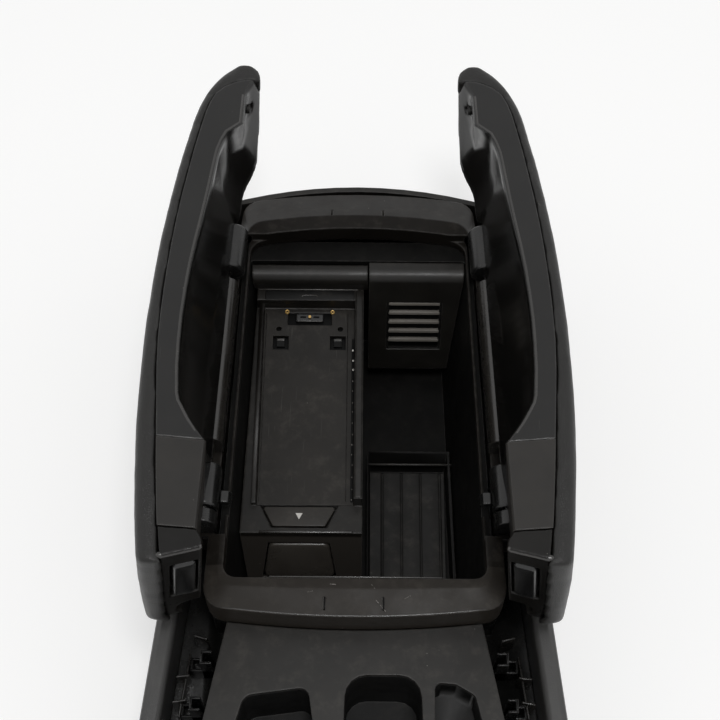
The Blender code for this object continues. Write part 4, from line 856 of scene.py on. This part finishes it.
def dress_latch():
    """The release button and the flap, with rounded corners, and the ridge between them."""
    face = axes_at(middle_of("release_button"), (1.0, 0.0, 0.0), front_face_up)
    low, high = extents("release_button", face)
    foot = high.x - 0.0002
    top = foot - button_taper
    # The release button in its lighter colour: painted light.
    piece = pad("release_button_look", [(-foot, low.y), (foot, low.y), (top, high.y),
                (-top, high.y)], 0.0042, low.z, high.z - 0.0005, 0.0022, face,
                body_of["release_button"], button_light_paint, 0.0005)
    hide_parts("release_button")
    low, high = extents("latch_flap")
    middle = (low.x + high.x) / 2
    wide = (high.x - low.x) / 2 - 0.0005
    narrow = wide - flap_taper
    front, rear = low.y + 0.0007, high.y - 0.0002
    piece = pad("latch_flap_look", [(middle - narrow, front), (middle + narrow, front),
                (middle + wide, rear), (middle - wide, rear)], 0.0018, low.z, high.z - 0.00002,
                0.0007, flat, body_of["latch_flap"], flap_plastic)
    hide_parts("latch_flap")
    nose = plate_low.y - nose_run
    bead("cradle_nose_ridge", [(plate_low.x + 0.0030, nose + 0.0008, plate_top - 0.0008),
         (plate_high.x - 0.0010, nose + 0.0008, plate_top - 0.0008)], 0.0013, console,
         edge_plastic)


for name, side in both_sides:
    dress_window(name, side)
dress_connector()
for name, side in both_sides:
    dress_contact(name)
dress_plate()
dress_press_symbol()
dress_rear_block()
dress_latch()


# Vent: rounded louvre bars in a painted highlight colour over painted shade inside, and the edges
# that catch the light

vent_fall = Vector((0.0, -0.0270, -0.0777)).normalized()     # down the vent's sloping face
bar_count = 5
bar_half = 0.0017
bar_back = 0.0016            # from a bar's middle to the rear of its pitch
bar_round = 0.0012
grille_hem = 0.0012


def dress_grille():
    grille = axes_at(middle_of("vent_grille"), (1.0, 0.0, 0.0), -vent_fall)
    low, high = extents("vent_grille", grille)
    pitch = (high.y - low.y - grille_hem) / bar_count
    # Each louvre bar takes the pale painted highlight colour.
    for i in range(bar_count):
        y = low.y + grille_hem + pitch * (i + 1) - bar_back
        bar = oblong(low.x + 0.0008, y - bar_half, high.x - 0.0008, y + bar_half)
        pad(f"louvre_{i}", bar, bar_round, high.z - 0.0018, high.z + 0.0005, 0.0010, grille,
            console, slat_highlight_paint)
    # Painted shade behind the louvres.
    pad("grille_back", oblong(low.x + 0.0004, low.y + 0.0004, high.x - 0.0004,
        high.y - 0.0004), 0.0005, low.z - 0.0002, low.z + 0.0002, 0.0001, grille, console,
        void_shade_paint)


def dress_right_half():
    """The vent's lit foot and the tray's lit rear lip."""
    low, high = extents("vent_panel")
    bead("vent_foot_edge", [(low.x + 0.0015, low.y + 0.0008, low.z + 0.0006),
         (high.x - 0.0125, low.y + 0.0008, low.z + 0.0006)], 0.0009, console, vent_plastic)
    low, high = extents("mat_tray")
    bead("tray_lip", [(low.x + 0.0010, high.y - 0.0105, high.z - 0.0008),
         (high.x - 0.0020, high.y - 0.0105, high.z - 0.0008)], 0.0010, console, vent_plastic)


dress_grille()
dress_right_half()


# Lids: the push button at the front end, the ridge above it, and the lit edge of the scoop

lid_open_deg = 84.0
lid_taper_deg = 2.2
pin_x, pin_y, pin_z = 0.0995, -0.0985, 0.156
seam_at, seam_fall = 0.0991, 0.0384      # the lids' meeting line, in the closed lid's own axes
seam_cosine = 0.99926
button_lean = 0.33
ridge_steps = 8
ridge_low, ridge_length = -0.0022, 0.0222
ridge_radius = 0.0021
scoop_front, scoop_rear = 0.050, 0.314
scoop_spacing = 0.003
scoop_climb = 0.006          # a point that rises more than this isn't on the lower edge


def dress_lid_button(name, turn):
    node = "lid_button_" + name
    up = turn.to_3x3() @ Vector((0.0, -button_lean, 1.0))
    across = turn.to_3x3() @ Vector((1.0, 0.0, 0.0))
    face = axes_at(middle_of(node), across, up)
    low, high = extents(node, face)
    inset = 0.0008
    outline = oblong(low.x + inset, low.y + inset, high.x - inset, high.y - inset)
    piece = pad(node + "_look", outline, 0.0042, low.z + 0.0014, high.z - 0.0002, 0.0026, face,
                body_of[node], gloss_plastic, 0.0004)
    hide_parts(node)


def dress_cap_ridge(name, side, lid):
    ridge = []
    for step in range(ridge_steps + 1):
        w = ridge_low + ridge_length * step / ridge_steps
        v = -0.0190 - button_lean * (w + 0.0040) + 0.0016
        ridge.append(lid @ Vector((-side * (seam_at - seam_fall * v - ridge_radius), v, w)))
    bead("cap_ridge_" + name, ridge, ridge_radius, body_of["lid_end_cap_" + name],
         edge_plastic, 14)


def dress_scoop_edge(name, side, lid):
    """A lit bead along the lowest corners that the shell has on the lids' meeting line."""
    shell = "lid_shell_" + name
    back = lid.inverted()
    lowest = {}
    for vertex in nodes[shell].data.vertices:
        spot = back @ vertex.co
        if abs(-side * spot.x - (seam_at - seam_fall * spot.y) / seam_cosine) < 0.0003:
            key = round(spot.y, 3)
            if key not in lowest or spot.z < lowest[key].z:
                lowest[key] = spot
    line = []
    for key in sorted(lowest):
        spot = lowest[key]
        if not scoop_front < key < scoop_rear:
            continue
        if not line or (spot.y - line[-1].y > scoop_spacing
                        and spot.z < line[-1].z + scoop_climb):
            line.append(spot)
    bead("scoop_edge_" + name, [lid @ (spot + Vector((side * 0.0007, 0.0, 0.0009)))
         for spot in line], 0.0010, body_of[shell], edge_plastic)


for name, side in both_sides:
    lid_turn = Matrix.Rotation(side * math.radians(lid_taper_deg), 4, "Z") @ Matrix.Rotation(
        side * math.radians(lid_open_deg), 4, "Y")
    lid = Matrix.Translation((side * pin_x, pin_y, pin_z)) @ lid_turn
    dress_lid_button(name, lid_turn)
    dress_cap_ridge(name, side, lid)
    dress_scoop_edge(name, side, lid)


# Rim: slits in painted shade with painted highlights beside them, lit edges, and scuffs on its
# front band

rim_top = 0.150
rim_half = 0.0962
slit_places = (-0.0190, 0.0180)
front_edge_y, front_edge_bow = -0.1165, 0.0068
front_edge_half, front_edge_steps = 0.083, 10
scuffs = [                   # start, end, half width
    ((0.0133, -0.1129), (0.0196, -0.1206), 0.00022),
    ((-0.0157, -0.1026), (-0.0119, -0.1028), 0.00030),
    ((0.0100, -0.1020), (0.0130, -0.1060), 0.00020),
    ((-0.0300, -0.1080), (-0.0262, -0.1072), 0.00014),
    ((0.0310, -0.1120), (0.0352, -0.1098), 0.00016),
]
scuff_steps = 7
scuff_skip = -0.18           # noise below this leaves a break in the scuff


def dress_rim():
    for x in slit_places:
        # Painted shade in each slit, and a painted highlight along its edge.
        pad(f"front_slit_{round(x * 1000)}", oblong(x - 0.0005, -0.1192, x + 0.0005, -0.1110),
            0.0003, rim_top - 0.0012, rim_top + 0.00012, mark_edge, flat, console,
            void_shade_paint)
        pad(f"front_slit_edge_{round(x * 1000)}", oblong(x - 0.0011, -0.1190, x - 0.0006,
            -0.1112), 0.0002, rim_top - 0.0008, rim_top + 0.00015, mark_edge, flat, console,
            highlight_paint)
    edge_line = []
    for step in range(-front_edge_steps, front_edge_steps + 1):
        x = front_edge_half * step / front_edge_steps
        y = front_edge_y - front_edge_bow * (1 - (x / rim_half) ** 2)
        edge_line.append((x, y + 0.0010, rim_top - 0.0036))
    bead("rim_front_edge", edge_line, 0.0009, console, edge_plastic)
    bead("rim_front_strip", [(-0.0540, -0.0978, rim_top - 0.0004),
         (0.0550, -0.0978, rim_top - 0.0004)], 0.0006, console, edge_plastic)


def dress_scuff(i, start, end, half):
    """A scuff as a broken row of short tapered strokes."""
    aside = aside_of(start, end, half)
    for k in range(scuff_steps):
        if noise.noise(Vector((i * 3.1, k * 1.9, 0.4))) < scuff_skip:
            continue
        near = start + (end - start) * (k / scuff_steps)
        far = start + (end - start) * ((k + 0.8) / scuff_steps)
        stroke = [near - aside, far - aside * 0.6, far + aside * 0.6, near + aside]
        pad(f"scuff_{i}_{k}", stroke, half * 0.3, rim_top - 0.0002, rim_top + mark_proud,
            0.00003, flat, console, scuff_grey)


dress_rim()
for i, (start, end, half) in enumerate(scuffs):
    dress_scuff(i, Vector(start), Vector(end), half)


# Gutters: thin-walled clips, open toward the middle, and ribs

clip_wall = 0.0016
clip_step = 0.5              # the foot's height and the tall part's reach, as shares of the clip
rib_half = 0.0007
rib_foot = 0.0783
ribs = (                     # name, start, end and top, on the right side
    ("long", (0.1073, -0.1323), (0.1122, -0.1735), 0.0960),
    ("cross_1", (0.1075, -0.1640), (0.1165, -0.1655), 0.1020),
    ("cross_2", (0.1062, -0.1480), (0.1150, -0.1490), 0.1020),
    ("end", (0.0960, -0.1240), (0.1050, -0.1215), 0.1020),
)


def clip_walls(name, low, high):
    """An upright U in plan, open toward the middle, with rounded upper edges."""
    back = low.x if low.x < 0 else high.x - clip_wall
    outlines = (("front", oblong(low.x, low.y, high.x, low.y + clip_wall)),
                ("rear", oblong(low.x, high.y - clip_wall, high.x, high.y)),
                ("back", oblong(back, low.y + clip_wall * 0.5, back + clip_wall,
                                high.y - clip_wall * 0.5)))
    return [pad(f"{name}_{which}", outline, clip_wall * 0.25, low.z, high.z, clip_wall * 0.45,
                flat, console, black_plastic) for which, outline in outlines]


def dress_clip(node):
    """A tall U over a lower and wider one. The tall one's front wall stands for the clip."""
    low, high = extents(node)
    step_top = low.z + (high.z - low.z) * clip_step
    reach = (high.x - low.x) * clip_step
    tall_low, tall_high = low.copy(), high.copy()
    if low.x < 0:
        tall_low.x = high.x - reach
    else:
        tall_high.x = low.x + reach
    piece = clip_walls(node + "_tall", tall_low, tall_high)[0]
    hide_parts(node)
    clip_walls(node + "_foot", low, Vector((high.x, high.y, step_top)))


for node in sorted(nodes):
    if node.startswith("gutter_clip"):
        dress_clip(node)
for side in (-1, 1):
    for name, start, end, top in ribs:
        start, end = Vector((side * start[0], start[1])), Vector((side * end[0], end[1]))
        aside = aside_of(start, end, rib_half)
        pad(f"gutter_rib_{name}_{side + 1}", [start - aside, end - aside, end + aside,
            start + aside], 0.0003, rib_foot, top, 0.0005, flat, console, edge_plastic)


# Every other piece, in its node's own shape

made_above = ("release_button", "lid_button", "latch_flap", "antenna_contact", "gutter_clip")
soft_by_start = {            # voxel size and rounds of softening
    "lid_end_cap": (0.0007, 6), "stop_hook": (0.0004, 5), "hinge_post": (0.0005, 5),
    "hinge_barrel": (0.0006, 4),
}
smooth_by_start = {          # degrees, 35 where no name fits
    "rim_frame": 21.0, "cradle_hood": 24.0, "vent_panel": 24.0, "front_deck": 20.0,
    "storage_tub": 20.0, "cradle_housing": 20.0, "side_panel": 25.0, "carrier": 20.0,
}


def by_start(table, name, default):
    """The table's entry for the start of a name."""
    for start, entry in table.items():
        if name.startswith(start):
            return entry
    return default


for name in sorted(nodes):
    if name.startswith(made_above):
        continue
    softening = by_start(soft_by_start, name, None)
    if name.startswith("lid_cover"):
        cushion(name)
    elif softening:
        softened(name, *softening)
    else:
        dressed(name, by_start(smooth_by_start, name, 35.0))
